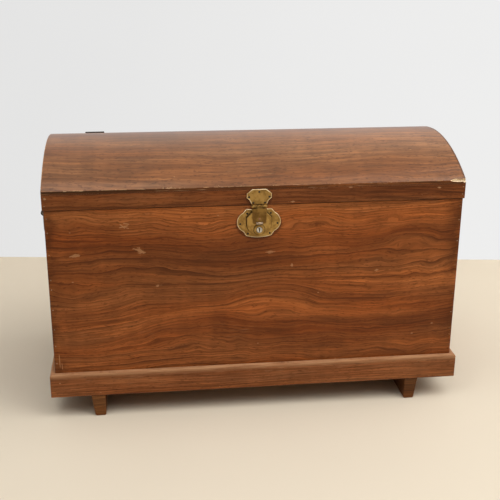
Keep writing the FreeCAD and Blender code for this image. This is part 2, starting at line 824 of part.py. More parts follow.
barrel_hole = new_sketch(lock_plate, "barrel_hole", "XZ_Plane", "lock_face")
draw_circle(barrel_hole, ("0", "lock_height"), "barrel_radius + running_gap")
add_pocket(lock_plate, barrel_hole, "lock_plate_thickness + overrun")
staple_slot = new_sketch(lock_plate, "staple_slot", "XZ_Plane", "lock_face")
slot_half = "(staple_thickness / 2 + staple_play)"
slot_foot = "lock_height + staple_bottom - staple_play"
draw_rectangle(staple_slot, f"0 - {slot_half}", slot_foot, slot_half, "lock_height + boss_top + overrun")
add_pocket(lock_plate, staple_slot, "boss_height - slot_sill")


def pin_pair(across, up):
    return [(f"{side} * {across}", f"lock_height + {up}") for side in (-1, 1)]


COVER_PIN_SPOTS = pin_pair("top_pin_half", "top_pin") + pin_pair("low_pin_half", "(0 - low_pin_drop)")
LOCK_PIN_SPOTS = COVER_PIN_SPOTS + pin_pair("side_pin_half", "side_pin")


def plate_pin_holes(body, label, face, thickness, spots):
    holes = new_sketch(body, label, "XZ_Plane", f"{face} + {thickness} + overrun")
    for spot in spots:
        draw_circle(holes, spot, "pin_shank_radius + pin_hole_gap")
    add_pocket(body, holes, f"{thickness} + 2 * overrun")


plate_pin_holes(lock_plate, "lock_pin_holes", "half_depth", "lock_plate_thickness", LOCK_PIN_SPOTS)

# Steel cover that closes the hollow behind the shield, let into the front panel under the pins
lock_back_plate = new_body("lock_back_plate")
cover_outline = new_sketch(lock_back_plate, "cover_outline", "XZ_Plane", "half_depth")
draw_cover(cover_outline, "cover_margin")
add_pad(lock_back_plate, cover_outline, "cover_thickness", reverse=True)
cover_back = "half_depth - cover_thickness"
plate_pin_holes(lock_back_plate, "cover_pin_holes", cover_back, "cover_thickness", COVER_PIN_SPOTS)

# Cylinder: a turned collar on the shield with a barrel through it, bored for the plug
lock_cylinder = new_body("lock_cylinder")
cylinder_profile = new_sketch(lock_cylinder, "cylinder_profile", "YZ_Plane", rise="lock_height")
collar_ease = "collar_thickness / 3"
draw_outline(cylinder_profile, [
    ("0 - lock_face - collar_thickness", "plug_radius + running_gap"),
    ("barrel_reach - lock_face", "plug_radius + running_gap"),
    ("barrel_reach - lock_face", "barrel_radius"),
    ("0 - lock_face", "barrel_radius"),
    ("0 - lock_face", "collar_radius"),
    (f"{collar_ease} - lock_face - collar_thickness", "collar_radius"),
    ("0 - lock_face - collar_thickness", f"collar_radius - {collar_ease}"),
], {5: (1, collar_ease)})
add_revolution(lock_cylinder, cylinder_profile)

# Key plug: turns in the cylinder and carries the cam on a square tail
lock_plug = new_body("lock_plug")
plug_disc = new_sketch(lock_plug, "plug_disc", "XZ_Plane", "lock_face + collar_thickness + plug_proud")
draw_circle(plug_disc, ("0", "lock_height"), "plug_radius")
add_pad(lock_plug, plug_disc, "collar_thickness + plug_proud + barrel_reach", reverse=True)


def draw_tail(sketch, gap):
    half = f"(tail_width / 2 + {gap})"
    draw_rectangle(sketch, f"0 - {half}", f"lock_height - {half}", half, f"lock_height + {half}")


tail_square = new_sketch(lock_plug, "tail_square", "XZ_Plane", "lock_face")
draw_tail(tail_square, "0")
add_pad(lock_plug, tail_square, "lock_face - half_depth - tail_end_gap", reverse=True)
keyway = new_sketch(lock_plug, "keyway", "XZ_Plane", "lock_face + collar_thickness + plug_proud")
draw_rectangle(
    keyway,
    "0 - keyway_width / 2",
    "lock_height - keyway_height / 2",
    "keyway_width / 2",
    "lock_height + keyway_height / 2",
)
add_pocket(lock_plug, keyway, "keyway_depth")

# Cam: a hub and arm behind the cylinder, with a lug that reaches into the bolt's fork
CAM_ROOT_SHARE = 0.8
lock_cam = new_body("lock_cam")


def cam_spot(reach, side):
    """A place along the arm, which leans to the left by half of the key's turn."""
    across = f"0 - ({reach}) * sin(lug_half_turn) + ({side}) * cos(lug_half_turn)"
    up = f"lock_height + ({reach}) * cos(lug_half_turn) + ({side}) * sin(lug_half_turn)"
    return across, up


cam_hub = new_sketch(lock_cam, "cam_hub", "XZ_Plane", "cam_face")
draw_circle(cam_hub, ("0", "lock_height"), "cam_hub_radius")
draw_tail(cam_hub, "running_gap")
add_pad(lock_cam, cam_hub, "cam_thickness", reverse=True)
cam_arm = new_sketch(lock_cam, "cam_arm", "XZ_Plane", "cam_face")
arm_root = f"cam_hub_radius * {CAM_ROOT_SHARE}"
draw_outline(cam_arm, [
    cam_spot(arm_root, "lug_radius"),
    cam_spot("lug_orbit", "lug_radius"),
    cam_spot("lug_orbit + lug_radius", "0"),
    cam_spot("lug_orbit", "0 - lug_radius"),
    cam_spot(arm_root, "0 - lug_radius"),
], {1: (1, "lug_radius"), 2: (1, "lug_radius")})
add_pad(lock_cam, cam_arm, "cam_thickness", reverse=True)
cam_lug = new_sketch(lock_cam, "cam_lug", "XZ_Plane", "cam_face - cam_thickness")
draw_circle(cam_lug, cam_spot("lug_orbit", "0"), "lug_radius")
add_pad(lock_cam, cam_lug, "bolt_face - cam_face + cam_thickness")

# Bolt: slides sideways behind the shield, its finger passing through the hasp's staple
lock_bolt = new_body("lock_bolt")
bolt_outline = new_sketch(lock_bolt, "bolt_outline", "XZ_Plane", "bolt_face")


def bolt_spot(across, up):
    return f"bolt_rest + {across}", f"lock_height + {up}"


fork_slot = "(lug_radius + lug_play)"
fork_slot_top = "lug_orbit + lug_radius + lug_play"
column_left = "bolt_column - bolt_column_width"
draw_outline(bolt_outline, [
    bolt_spot("bolt_fork_half", "bolt_fork_bottom"),
    bolt_spot("bolt_fork_half", "bolt_fork_top"),
    bolt_spot("bolt_column", "bolt_fork_top"),
    bolt_spot("bolt_column", "bolt_finger_bottom"),
    bolt_spot("bolt_tip", "bolt_finger_bottom"),
    bolt_spot("bolt_tip", "bolt_finger_top"),
    bolt_spot(column_left, "bolt_finger_top"),
    bolt_spot(column_left, "bolt_fork_bottom"),
    bolt_spot(f"(0 - {fork_slot})", "bolt_fork_bottom"),
    bolt_spot(f"(0 - {fork_slot})", fork_slot_top),
    bolt_spot(fork_slot, fork_slot_top),
    bolt_spot(fork_slot, "bolt_fork_bottom"),
])
add_pad(lock_bolt, bolt_outline, "bolt_thickness", reverse=True)

# Hasp plate: brass on the lid's front rail, its foot rolled into two knuckles
hasp_plate = new_body("hasp_plate")
hasp_outline = new_sketch(hasp_plate, "hasp_outline", "XZ_Plane", "0 - lid_front")
hasp_half = [
    ("hasp_plate_foot_half", "lock_height + hasp_plate_foot"),
    ("hasp_plate_half", "lock_height + hasp_plate_waist"),
    ("hasp_plate_half", "lock_height + hasp_plate_shoulder"),
    ("hasp_plate_top_half", "lock_height + hasp_plate_top"),
]
draw_outline(hasp_outline, *mirrored_outline(hasp_half, {0: (-1, "hasp_side_radius")}))
hasp_pad = add_pad(hasp_plate, hasp_outline, "hasp_plate_thickness")
round_front_edges(hasp_plate, hasp_pad, "lock_plate_ease")


def hasp_ring(body, label, offset, width, symmetric):
    ring = new_sketch(body, label, "YZ_Plane", offset)
    axis = ("0 - hasp_axis_depth", "hasp_axis_height")
    draw_circle(ring, axis, "hasp_knuckle_radius")
    draw_circle(ring, axis, "hasp_bore")
    return add_pad(body, ring, width, symmetric=symmetric)


outer_ring_start = "hasp_middle_width / 2 + side_gap"
outer_ring_width = "hasp_plate_foot_half - hasp_middle_width / 2 - side_gap"
outer_ring = hasp_ring(hasp_plate, "hasp_outer_ring", outer_ring_start, outer_ring_width, False)
hasp_web = new_sketch(hasp_plate, "hasp_web", "YZ_Plane", outer_ring_start)
draw_rectangle(
    hasp_web,
    "lid_front - hasp_plate_thickness",
    "hasp_axis_height",
    "lid_front",
    "lock_height + hasp_plate_foot + hasp_plate_thickness",
)
web_pad = add_pad(hasp_plate, hasp_web, outer_ring_width)
add_mirror(hasp_plate, [outer_ring, web_pad], "YZ_Plane")
HASP_PIN_SPOTS = [
    ("0", "lock_height + hasp_top_pin"),
    ("0 - hasp_side_pin_half", "lock_height + hasp_side_pin"),
    ("hasp_side_pin_half", "lock_height + hasp_side_pin"),
    ("0 - hasp_low_pin_half", "lock_height + hasp_low_pin"),
    ("hasp_low_pin_half", "lock_height + hasp_low_pin"),
]
plate_pin_holes(hasp_plate, "hasp_pin_holes", "0 - lid_front", "hasp_plate_thickness", HASP_PIN_SPOTS)

# Hasp flap: hangs from the plate's knuckles over the shield, with a thumb lip at its end
hasp_flap = new_body("hasp_flap")
flap_outline = new_sketch(hasp_flap, "flap_outline", "XZ_Plane", "flap_back")
flap_half = [
    ("flap_bottom_half - flap_corner_round", "lock_height + flap_bottom"),
    ("flap_bottom_half", "lock_height + flap_bottom + flap_corner_round"),
    ("flap_top_half", "lock_height + flap_top"),
]
draw_outline(flap_outline, *mirrored_outline(flap_half, {0: (1, "flap_corner_round")}))
flap_pad = add_pad(hasp_flap, flap_outline, "flap_thickness")
round_front_edges(hasp_flap, flap_pad, "lock_plate_ease")
hasp_ring(hasp_flap, "flap_ring", "0", "hasp_middle_width", True)
flap_neck = new_sketch(hasp_flap, "flap_neck", "YZ_Plane")
neck_foot = "lock_height + flap_top - flap_thickness"
draw_outline(flap_neck, [
    ("0 - flap_front", neck_foot),
    ("0 - flap_back", neck_foot),
    ("0 - hasp_axis_depth - (hasp_bore + hasp_knuckle_radius) / 2", "hasp_axis_height"),
    ("0 - hasp_axis_depth - hasp_knuckle_radius", "hasp_axis_height"),
])
add_pad(hasp_flap, flap_neck, "hasp_middle_width", symmetric=True)
thumb_lip = new_sketch(hasp_flap, "thumb_lip", "YZ_Plane")
lip_top = "lock_height + flap_bottom + lip_thickness"
draw_outline(thumb_lip, [
    ("0 - flap_back - flap_thickness / 2", "lock_height + flap_bottom"),
    ("0 - flap_back - flap_thickness / 2", f"{lip_top} + lip_thickness"),
    ("0 - flap_front", f"{lip_top} + lip_thickness"),
    ("0 - flap_front - lip_thickness", lip_top),
    ("0 - flap_front - lip_reach", lip_top),
    ("0 - flap_front - lip_reach", "lock_height + flap_bottom"),
], {2: (1, "lip_thickness")})
add_pad(hasp_flap, thumb_lip, "2 * lip_half", symmetric=True)

# Staple: a tongue riveted behind the flap, with an eye for the bolt's finger
hasp_staple = new_body("hasp_staple")
tongue = new_sketch(hasp_staple, "staple_tongue", "YZ_Plane")
draw_rectangle(
    tongue,
    "0 - flap_back",
    "lock_height + staple_bottom",
    "0 - staple_tip",
    "lock_height + staple_top",
)
draw_rectangle(
    tongue,
    "0 - bolt_face - staple_play",
    "lock_height + bolt_finger_bottom - staple_play",
    "bolt_thickness - bolt_face + staple_play",
    "lock_height + bolt_finger_top + staple_play",
)
add_pad(hasp_staple, tongue, "staple_thickness", symmetric=True)

# Hasp pin: through the three knuckles, headed at both ends
hasp_pin = new_body("hasp_pin")
hasp_pin_profile = new_sketch(hasp_pin, "hasp_pin_profile", "XZ_Plane")
hasp_pin_seat = "hasp_plate_foot_half + running_gap"
draw_outline(hasp_pin_profile, *mirrored_outline([
    (f"{hasp_pin_seat} + pin_head_height", "0"),
    (f"{hasp_pin_seat} + pin_head_height", "hasp_pin_radius"),
    (hasp_pin_seat, "hasp_pin_radius + pin_head_height"),
    (hasp_pin_seat, "hasp_pin_radius"),
]))
add_revolution(hasp_pin, hasp_pin_profile)
place_body(hasp_pin, along="0 - hasp_axis_depth", up="hasp_axis_height")

# End handles, drawn on the right end; the left one is turned about the trunk's middle
HANDLE_SCREW_SPOTS = [
    (
        f"{end} * (handle_plate_length / 2 - handle_screw_end)",
        f"{side} * (handle_plate_height / 2 - handle_screw_side)",
    )
    for end in (-1, 1)
    for side in (-1, 1)
]


def handle_plate(label, turn):
    body = new_body(label)
    plate = new_sketch(body, label + "_plate", "YZ_Plane", "half_width", "handle_height")
    half_length = "handle_plate_length / 2"
    half_height = "handle_plate_height / 2"
    right_half = [
        (f"{half_length} - handle_plate_round", f"0 - {half_height}"),
        (half_length, f"handle_plate_round - {half_height}"),
        (half_length, f"{half_height} - handle_plate_round"),
        (f"{half_length} - handle_plate_round", half_height),
    ]
    bends = {0: (1, "handle_plate_round"), 2: (1, "handle_plate_round")}
    draw_outline(plate, *mirrored_outline(right_half, bends))
    add_pad(body, plate, "handle_plate_thickness")
    ear = new_sketch(body, label + "_ear", "XZ_Plane", "ear_inner", "handle_height")
    root = "half_width + handle_plate_thickness / 2"
    draw_outline(ear, [
        (root, "0 - ear_root_half"),
        ("bail_axis", "0 - ear_radius"),
        ("bail_axis + ear_radius", "0"),
        ("bail_axis", "ear_radius"),
        (root, "ear_root_half"),
    ], {1: (1, "ear_radius"), 2: (1, "ear_radius")})
    ear_pad = add_pad(body, ear, "ear_thickness")
    bore = new_sketch(body, label + "_bore", "XZ_Plane", "ear_outer + overrun", "handle_height")
    draw_circle(bore, ("bail_axis", "0"), "ear_bore")
    ear_cut = add_pocket(body, bore, "ear_thickness + 2 * overrun")
    add_mirror(body, [ear_pad, ear_cut], "XZ_Plane")
    holes = new_sketch(body, label + "_holes", "YZ_Plane", "half_width - overrun", "handle_height")
    for along, up in HANDLE_SCREW_SPOTS:
        draw_circle(holes, (along, up), "screw_shank_radius + screw_hole_gap")
    add_pocket(body, holes, "handle_plate_thickness + 2 * overrun", reverse=True)
    place_body(body, turn=turn)
    return body


def bail(label, turn):
    """A bent iron bar with a swelled grip; its turned-out ends run in the ears."""
    body = new_body(label)
    bar = new_sketch(body, label + "_bar", "XZ_Plane", "ear_outer", "handle_height")
    draw_circle(bar, ("bail_axis", "0"), "bail_radius")
    route = new_sketch(body, label + "_route", "YZ_Plane", "bail_axis", "handle_height")
    right_half = [
        ("bail_leg - bail_corner", "0 - bail_drop"),
        ("bail_leg", "bail_corner - bail_drop"),
        ("bail_leg", "0 - bail_bend"),
        ("bail_leg + bail_bend", "0"),
        ("ear_outer", "0"),
    ]
    left_half = [(f"0 - ({along})", up) for along, up in reversed(right_half)]
    bends = {
        1: (-1, "bail_bend"),
        3: (1, "bail_corner"),
        5: (1, "bail_corner"),
        7: (-1, "bail_bend"),
    }
    draw_outline(route, left_half + right_half, bends, closed=False)
    doc.recompute()
    pipe = body.newObject("PartDesign::AdditivePipe", label + "_pipe")
    pipe.Profile = bar
    pipe.Spine = route
    doc.recompute()
    grip = new_sketch(body, label + "_grip", "YZ_Plane", "bail_axis", "handle_height - bail_drop")
    draw_outline(grip, [
        ("0 - grip_length / 2", "0"),
        ("grip_length / 2", "0"),
        ("grip_length / 2", "bail_radius / 2"),
        ("0 - grip_length / 2", "bail_radius / 2"),
    ], {2: (1, "grip_arc")})
    add_revolution(body, grip)
    place_body(body, turn=turn)
    return body


right_handle_plate = handle_plate("right_handle_plate", 0)
left_handle_plate = handle_plate("left_handle_plate", 180)
right_bail = bail("right_bail", 0)
left_bail = bail("left_bail", 180)


# Fasteners: each kind is one group of separate solids, a domed head on a pointed shank
def fastener(head_radius, head_height, shank_radius, length):
    """Head above z = 0 and shank below it, turned from one profile."""
    radius = value(head_radius)
    height = value(head_height)
    shank = value(shank_radius)
    reach = value(length)
    ball = (radius ** 2 + height ** 2) / (2 * height)
    half_angle = math.asin(radius / ball) / 2
    middle = (ball * math.sin(half_angle), height - ball * (1 - math.cos(half_angle)))

    def spot(across, up):
        return FreeCAD.Vector(across, 0, up)

    dome = Part.Arc(spot(0, height), spot(*middle), spot(radius, 0)).toShape()
    rest = Part.makePolygon([
        spot(radius, 0),
        spot(shank, 0),
        spot(shank, 2 * shank - reach),
        spot(0, -reach),
        spot(0, height),
    ])
    face = Part.Face(Part.Wire([dome] + rest.Edges))
    return face.revolve(FreeCAD.Vector(0, 0, 0), FreeCAD.Vector(0, 0, 1), 360)


def fastener_group(label, spots, head_radius, head_height, shank_radius):
    """spots lists where each head sits, the way it faces and how long its shank is."""
    solids = []
    for place, facing, length in spots:
        solid = fastener(head_radius, head_height, shank_radius, length)
        turn = FreeCAD.Rotation(FreeCAD.Vector(0, 0, 1), facing)
        solid.Placement = FreeCAD.Placement(FreeCAD.Vector(*[value(words) for words in place]), turn)
        solids.append(solid)
    group = doc.addObject("Part::Feature", label)
    group.Label = label
    group.Shape = Part.makeCompound(solids)
    return group


FRONTWARDS = FreeCAD.Vector(0, -1, 0)
BACKWARDS = FreeCAD.Vector(0, 1, 0)
DOWNWARDS = FreeCAD.Vector(0, 0, -1)
SCREW = ("screw_head_radius", "screw_head_height", "screw_shank_radius")
PIN = ("pin_head_radius", "pin_head_height", "pin_shank_radius")

fastener_group("lock_plate_pins", [
    ((across, "0 - half_depth - lock_plate_thickness", up), FRONTWARDS, "pin_length")
    for across, up in LOCK_PIN_SPOTS
], *PIN)
fastener_group("hasp_plate_pins", [
    ((across, "lid_front - hasp_plate_thickness", up), FRONTWARDS, "pin_length")
    for across, up in HASP_PIN_SPOTS
], *PIN)
fastener_group("runner_screws", [
    (
        (
            f"{side} * (runner_place + runner_bottom_width / 2)",
            f"{share} * runner_screw_spacing",
            "runner_screw_depth",
        ),
        DOWNWARDS,
        "runner_height - runner_screw_depth + runner_screw_hold",
    )
    for side in (-1, 1)
    for share in RUNNER_SCREW_SHARES
], *SCREW)
fastener_group("hinge_body_screws", [
    (
        (f"{side} * hinge_place + {across}", "half_depth + strap_thickness", f"hinge_axis_height + {up}"),
        BACKWARDS,
        "screw_length",
    )
    for side in (-1, 1)
    for across, up in BODY_STRAP_SPOTS
], *SCREW)
dome_screw_across, dome_screw_up = dome_point("dome_screw_angle", "strap_bed + strap_thickness")
dome_screw_facing = FreeCAD.Vector(
    0, value("sin(dome_screw_angle)"), value("cos(dome_screw_angle)"))
fastener_group("hinge_lid_screws", [
    (
        (f"{side} * hinge_place + {across}", "half_depth + strap_thickness", f"hinge_axis_height + {up}"),
        BACKWARDS,
        "screw_length",
    )
    for side in (-1, 1)
    for across, up in RAIL_SPOTS
] + [
    (
        (
            f"{side} * hinge_place",
            f"hinge_axis_depth + {dome_screw_across}",
            f"hinge_axis_height + {dome_screw_up}",
        ),
        dome_screw_facing,
        "dome_screw_length",
    )
    for side in (-1, 1)
], *SCREW)
fastener_group("handle_screws", [
    (
        (f"{side} * handle_face", along, f"handle_height + {up}"),
        FreeCAD.Vector(side, 0, 0),
        "screw_length",
    )
    for side in (-1, 1)
    for along, up in HANDLE_SCREW_SPOTS
], *SCREW)

# Every object has to be sound before anything is written
doc.recompute()
for item in doc.Objects:
    if "Invalid" in item.State or "Error" in item.State:
        raise RuntimeError(item.Label + " failed to build")
nodes = [item for item in doc.Objects if item.TypeId in ("PartDesign::Body", "Part::Feature")]
for node in nodes:
    if node.Shape.isNull() or not node.Shape.isValid():
        raise RuntimeError(node.Label + " has no sound shape")

os.makedirs("parts", exist_ok=True)
for node in nodes:
    node.Shape.exportStep("parts/" + node.Label + ".step")
print(len(nodes), "sub-parts written")
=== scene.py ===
import json
import math
import random

import bmesh
import bpy
from mathutils import Matrix, Vector, noise

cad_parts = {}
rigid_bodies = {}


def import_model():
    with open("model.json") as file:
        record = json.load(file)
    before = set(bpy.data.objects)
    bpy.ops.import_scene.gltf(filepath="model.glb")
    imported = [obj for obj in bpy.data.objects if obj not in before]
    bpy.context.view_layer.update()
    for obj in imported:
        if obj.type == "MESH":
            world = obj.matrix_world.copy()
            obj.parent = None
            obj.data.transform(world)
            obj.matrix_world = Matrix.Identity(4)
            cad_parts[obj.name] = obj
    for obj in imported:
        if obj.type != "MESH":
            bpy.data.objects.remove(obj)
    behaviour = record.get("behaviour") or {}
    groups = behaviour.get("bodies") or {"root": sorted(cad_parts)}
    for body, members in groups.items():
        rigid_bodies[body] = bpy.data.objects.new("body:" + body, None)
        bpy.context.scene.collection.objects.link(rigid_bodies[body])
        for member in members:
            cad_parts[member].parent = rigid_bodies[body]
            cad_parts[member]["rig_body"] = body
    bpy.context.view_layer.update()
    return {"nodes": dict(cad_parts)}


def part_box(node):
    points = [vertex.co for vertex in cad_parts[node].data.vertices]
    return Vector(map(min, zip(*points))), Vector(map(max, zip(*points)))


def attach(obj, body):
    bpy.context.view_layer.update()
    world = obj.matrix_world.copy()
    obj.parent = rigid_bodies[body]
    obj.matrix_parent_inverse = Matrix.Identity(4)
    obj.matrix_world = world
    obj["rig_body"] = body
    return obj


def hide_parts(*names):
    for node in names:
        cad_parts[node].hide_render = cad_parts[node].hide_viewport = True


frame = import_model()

# ---
# Box boards. Front, back and two ends of 12 mm board with a thinner bottom, faced outside with striped
# red-brown veneer whose grain runs along the trunk. Front and back lap over the ends in a rebate, and the
# outside is rubbed with satin varnish while the inside and the rim stay bare.
INSIDE_HALF_WIDTH, INSIDE_HALF_DEPTH, INSIDE_FLOOR, RIM = 0.3785, 0.1795, 0.0535, 0.4145
BOX_HALF_WIDTH, BOX_HALF_DEPTH = 0.39, 0.191
BOARD_EASE, BOTTOM_EASE = 0.0009, 0.0006
# Tones of a wood: light, middle, dark, and bare where the varnish is gone, also used on the plinth's top arris as a
# painted highlight.
PANEL_TONES = ((0.338, 0.104, 0.0252), (0.234, 0.0612, 0.012), (0.072, 0.0174, 0.0028), (0.42, 0.205, 0.09))
INSIDE_TONES = ((0.4, 0.235, 0.125), (0.31, 0.17, 0.084), (0.16, 0.078, 0.036), (0.5, 0.33, 0.19))
# Where the front's figure bulges: middle along and up, half length, half height, lift.
FRONT_SWELLS = ((0.295, 0.346, 0.06, 0.03, 0.012), (0.257, 0.385, 0.022, 0.012, 0.007),
                (0.085, 0.386, 0.09, 0.02, 0.008), (-0.11, 0.17, 0.13, 0.05, 0.016),
                (0.03, 0.23, 0.1, 0.045, 0.012), (-0.33, 0.19, 0.14, 0.09, -0.015))
# Flecks knocked out of the front: middle along and up, half length, half height, lean.
FRONT_FLECKS = ((-0.3386, 0.328, 0.016, 0.0055, 0.5), (-0.2204, 0.333, 0.013, 0.008, -0.6),
                (0.022, 0.322, 0.017, 0.003, 0.3), (0.064, 0.294, 0.0035, 0.0065, 0.0),
                (0.229, 0.277, 0.005, 0.003, 0.4), (-0.19, 0.263, 0.01, 0.0025, 0.3))
# Scratches on the front: start, end, width.
FRONT_SCRATCHES = (((-0.258, 0.379), (-0.239, 0.383), 0.0013), ((-0.256, 0.387), (-0.245, 0.377), 0.0012),
                   ((-0.25, 0.388), (-0.237, 0.385), 0.0012), ((-0.247, 0.38), (-0.238, 0.377), 0.0008),
                   ((-0.38, 0.133), (-0.3795, 0.101), 0.0009), ((-0.376, 0.113), (-0.3755, 0.098), 0.0008))
CORNER_REACH, CORNER_COVER = 0.003, 0.34
RELIEF = 0.00012  # depth of the grain and scratches on every finish


def settle(piece):
    """Makes a piece's modifiers part of its mesh."""
    bpy.context.view_layer.update()
    depsgraph = bpy.context.evaluated_depsgraph_get()
    finished = bpy.data.meshes.new_from_object(piece.evaluated_get(depsgraph))
    piece.modifiers.clear()
    piece.data = finished
    return piece


def add_piece(name, mesh):
    piece = bpy.data.objects.new(name, mesh)
    bpy.context.scene.collection.objects.link(piece)
    return piece


def welded(node, gap=2e-6):
    """A node's shape, with its loose triangles joined."""
    shape = bmesh.new()
    shape.from_mesh(frame["nodes"][node].data)
    bmesh.ops.remove_doubles(shape, verts=shape.verts, dist=gap)
    return shape


def whole_faces(shape):
    """The shape, with the triangles of each flat face made one."""
    bmesh.ops.dissolve_limit(shape, angle_limit=math.radians(1), verts=shape.verts, edges=shape.edges)
    return shape


def mesh_of(shape, name):
    mesh = bpy.data.meshes.new(name)
    shape.to_mesh(mesh)
    shape.free()
    return mesh


def enter(piece, body, slot, *nodes):
    """Puts a piece on its body, in place of the nodes that it stands for. The slot is not used."""
    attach(piece, body)
    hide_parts(*nodes)
    return piece


def stand_in(node, name, shape, finishes, slot, ease=0.0, steps=2, crowded=False):
    """A piece that stands for a node, its sharp arrises rubbed round, less where edges crowd."""
    mesh = mesh_of(shape, name)
    mesh.shade_smooth()
    for finish in finishes:
        mesh.materials.append(finish)
    piece = add_piece(name, mesh)
    if ease:
        bevel = piece.modifiers.new("eased", "BEVEL")
        bevel.width, bevel.segments, bevel.use_clamp_overlap = ease, steps, crowded
        bevel.limit_method, bevel.angle_limit = "ANGLE", math.radians(35)
    weighted = piece.modifiers.new("flat_faces_stay_flat", "WEIGHTED_NORMAL")
    weighted.mode, weighted.weight = "FACE_AREA", 60
    return enter(settle(piece), frame["nodes"][node]["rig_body"], slot, node)


def eased_copy(node, ease, finishes, slot, **edges):
    return stand_in(node, node + "_eased", whole_faces(welded(node)), finishes, slot, ease, **edges)


def paint_faces(piece, index, chosen):
    """Gives the chosen faces another of the piece's finishes."""
    for face in piece.data.polygons:
        if chosen(face.center, face.normal):
            face.material_index = index


class Amount:
    """What a node puts out. The usual signs reckon with it."""

    def __init__(self, tree, socket):
        self.tree, self.socket = tree, socket

    def __add__(self, other):
        return reckon("ADD", self, other)

    def __sub__(self, other):
        return reckon("SUBTRACT", self, other)

    def __rsub__(self, other):
        return reckon("SUBTRACT", other, self)

    def __mul__(self, other):
        return reckon("MULTIPLY", self, other)

    def __truediv__(self, other):
        return reckon("DIVIDE", self, other)

    def __lt__(self, other):
        return reckon("LESS_THAN", self, other)

    def __abs__(self):
        return reckon("ABSOLUTE", self)


def lay(kind, inputs, tree=None, **settings):
    """Puts a node into a tree, or else that of its inputs, and gives its outputs by number and by name."""
    if tree is None:
        tree = next(value.tree for value in inputs.values() if isinstance(value, Amount))
    node = tree.nodes.new(kind)
    for key, value in settings.items():
        setattr(node, key, value)
    for key, value in inputs.items():
        if isinstance(value, Amount):
            tree.links.new(value.socket, node.inputs[key])
        else:
            node.inputs[key].default_value = value
    outputs = [Amount(tree, socket) for socket in node.outputs]
    return dict(enumerate(outputs)) | {output.socket.name: output for output in outputs}


def reckon(how, first, second=0.0, clamp=False):
    return lay("ShaderNodeMath", {0: first, 1: second}, operation=how, use_clamp=clamp)[0]


def most(*masks):
    """The greatest of several masks."""
    total = masks[0]
    for mask in masks[1:]:
        total = reckon("MAXIMUM", total, mask)
    return total


def spot_at(x, y, z):
    return lay("ShaderNodeCombineXYZ", {0: x, 1: y, 2: z})[0]


def parts_of(spot):
    return lay("ShaderNodeSeparateXYZ", {0: spot})


def noise_at(spot, scale, detail, roughness=0.5):
    return lay("ShaderNodeTexNoise", {"Vector": spot, "Scale": scale, "Detail": detail, "Roughness": roughness})[0]


def cloud(x, y, z, detail=2.0, roughness=0.5):
    """Soft noise at a point whose three numbers are already scaled."""
    return noise_at(spot_at(x, y, z), 1.0, detail, roughness)


def fade(value, start, end, first=0.0, last=1.0):
    """Goes softly from first to last while the value goes from start to end."""
    return lay("ShaderNodeMapRange", {0: value, 1: start, 2: end, 3: first, 4: last},
               interpolation_type="SMOOTHSTEP")[0]


def tint(share, first, second, how="MIX"):
    """A share of the second colour over the first, each a node's or three plain numbers."""
    first, second = (colour if isinstance(colour, Amount) else (*colour, 1) for colour in (first, second))
    return lay("ShaderNodeMix", {0: share, 6: first, 7: second}, data_type="RGBA", blend_type=how)[2]


def shaded(colour, red, green, blue):
    """A colour with its parts made darker or lighter."""
    return tint(1.0, colour, lay("ShaderNodeCombineColor", {0: red, 1: green, 2: blue})[0], "MULTIPLY")


def shader_group(name, inputs, outputs, work):
    """A shader node group that puts out what work makes of its inputs."""
    group = bpy.data.node_groups.new(name, "ShaderNodeTree")
    for label in inputs:
        kind = "NodeSocketVector" if label == "Place" else "NodeSocketFloat"
        group.interface.new_socket(label, in_out="INPUT", socket_type=kind)
    for label in outputs:
        group.interface.new_socket(label, in_out="OUTPUT", socket_type="NodeSocketFloat")
    given = lay("NodeGroupInput", {}, group)
    lay("NodeGroupOutput", dict(zip(outputs, work(*(given[label] for label in inputs)))), group)
    return group


def fill(group, **inputs):
    return lay("ShaderNodeGroup", inputs, node_tree=group)


def veneer_figure(along, across, board, sway, ripple):
    """Figure of sliced veneer: broad tone, dark growth lines that sway and ripple, fibres and pores. Rates are
    repeats in a metre."""
    def grain(over, along_rate, across_rate, layer, detail, roughness=0.5):
        return cloud(along * along_rate, over * across_rate, board + layer, detail, roughness)

    lively = fade(grain(across, 3.2, 8.0, 33.1, 1.0), 0.42, 0.62, 0.75, 2.6)
    swayed = (grain(across, 3.1, 5.5, 0.0, 1.5) - 0.5) * sway
    rippled = (grain(across, 14.0, 24.0, 3.7, 2.0) - 0.5) * ripple * lively
    line = across + (swayed + rippled)
    tone = grain(line, 1.1, 16.0, 1.3, 3.0, 0.55)
    thick = grain(line, 1.3, 52.0, 9.1, 4.0, 0.62)
    sharp = grain(line, 1.5, 118.0, 12.7, 2.0, 0.55)
    thin = grain(line, 4.5, 210.0, 5.9, 3.0, 0.65)
    fibre = grain(line, 12.0, 330.0, 0.0, 3.0, 0.7)
    pore = grain(line, 115.0, 560.0, 0.0, 1.0)
    curl = grain(across, 42.0, 8.0, 2.9, 1.0)
    zone = grain(line, 2.1, 9.0, 31.7, 2.0)
    hue = grain(line, 3.4, 27.0, 37.5, 3.0, 0.6)
    drift = grain(line, 1.7, 13.0, 17.3, 2.0)
    come_and_go = fade(grain(line, 2.0, 17.0, 21.9, 2.0), 0.41, 0.56, 0.05, 1.0)
    bunched = fade(grain(line, 4.0, 31.0, 26.3, 2.0), 0.38, 0.58, 0.28, 0.86)
    growth = reckon("POWER", reckon("FRACT", line * 62.0 + drift * 4.0), 3.6) * come_and_go
    hair = reckon("POWER", reckon("FRACT", line * 158.0 + drift * 9.0), 2.3) * bunched
    heavy = fade(thick, 0.48, 0.68) * 0.45
    core = fade(sharp, 0.54, 0.63) * fade(thick, 0.44, 0.64, 0.0, 0.85)
    fine = fade(thin, 0.5, 0.64) * fade(tone, 0.6, 0.4, 0.1, 0.42)
    return tone, zone, hue, most(heavy, core, growth, fine, hair), fibre, fade(pore, 0.58, 0.7), curl


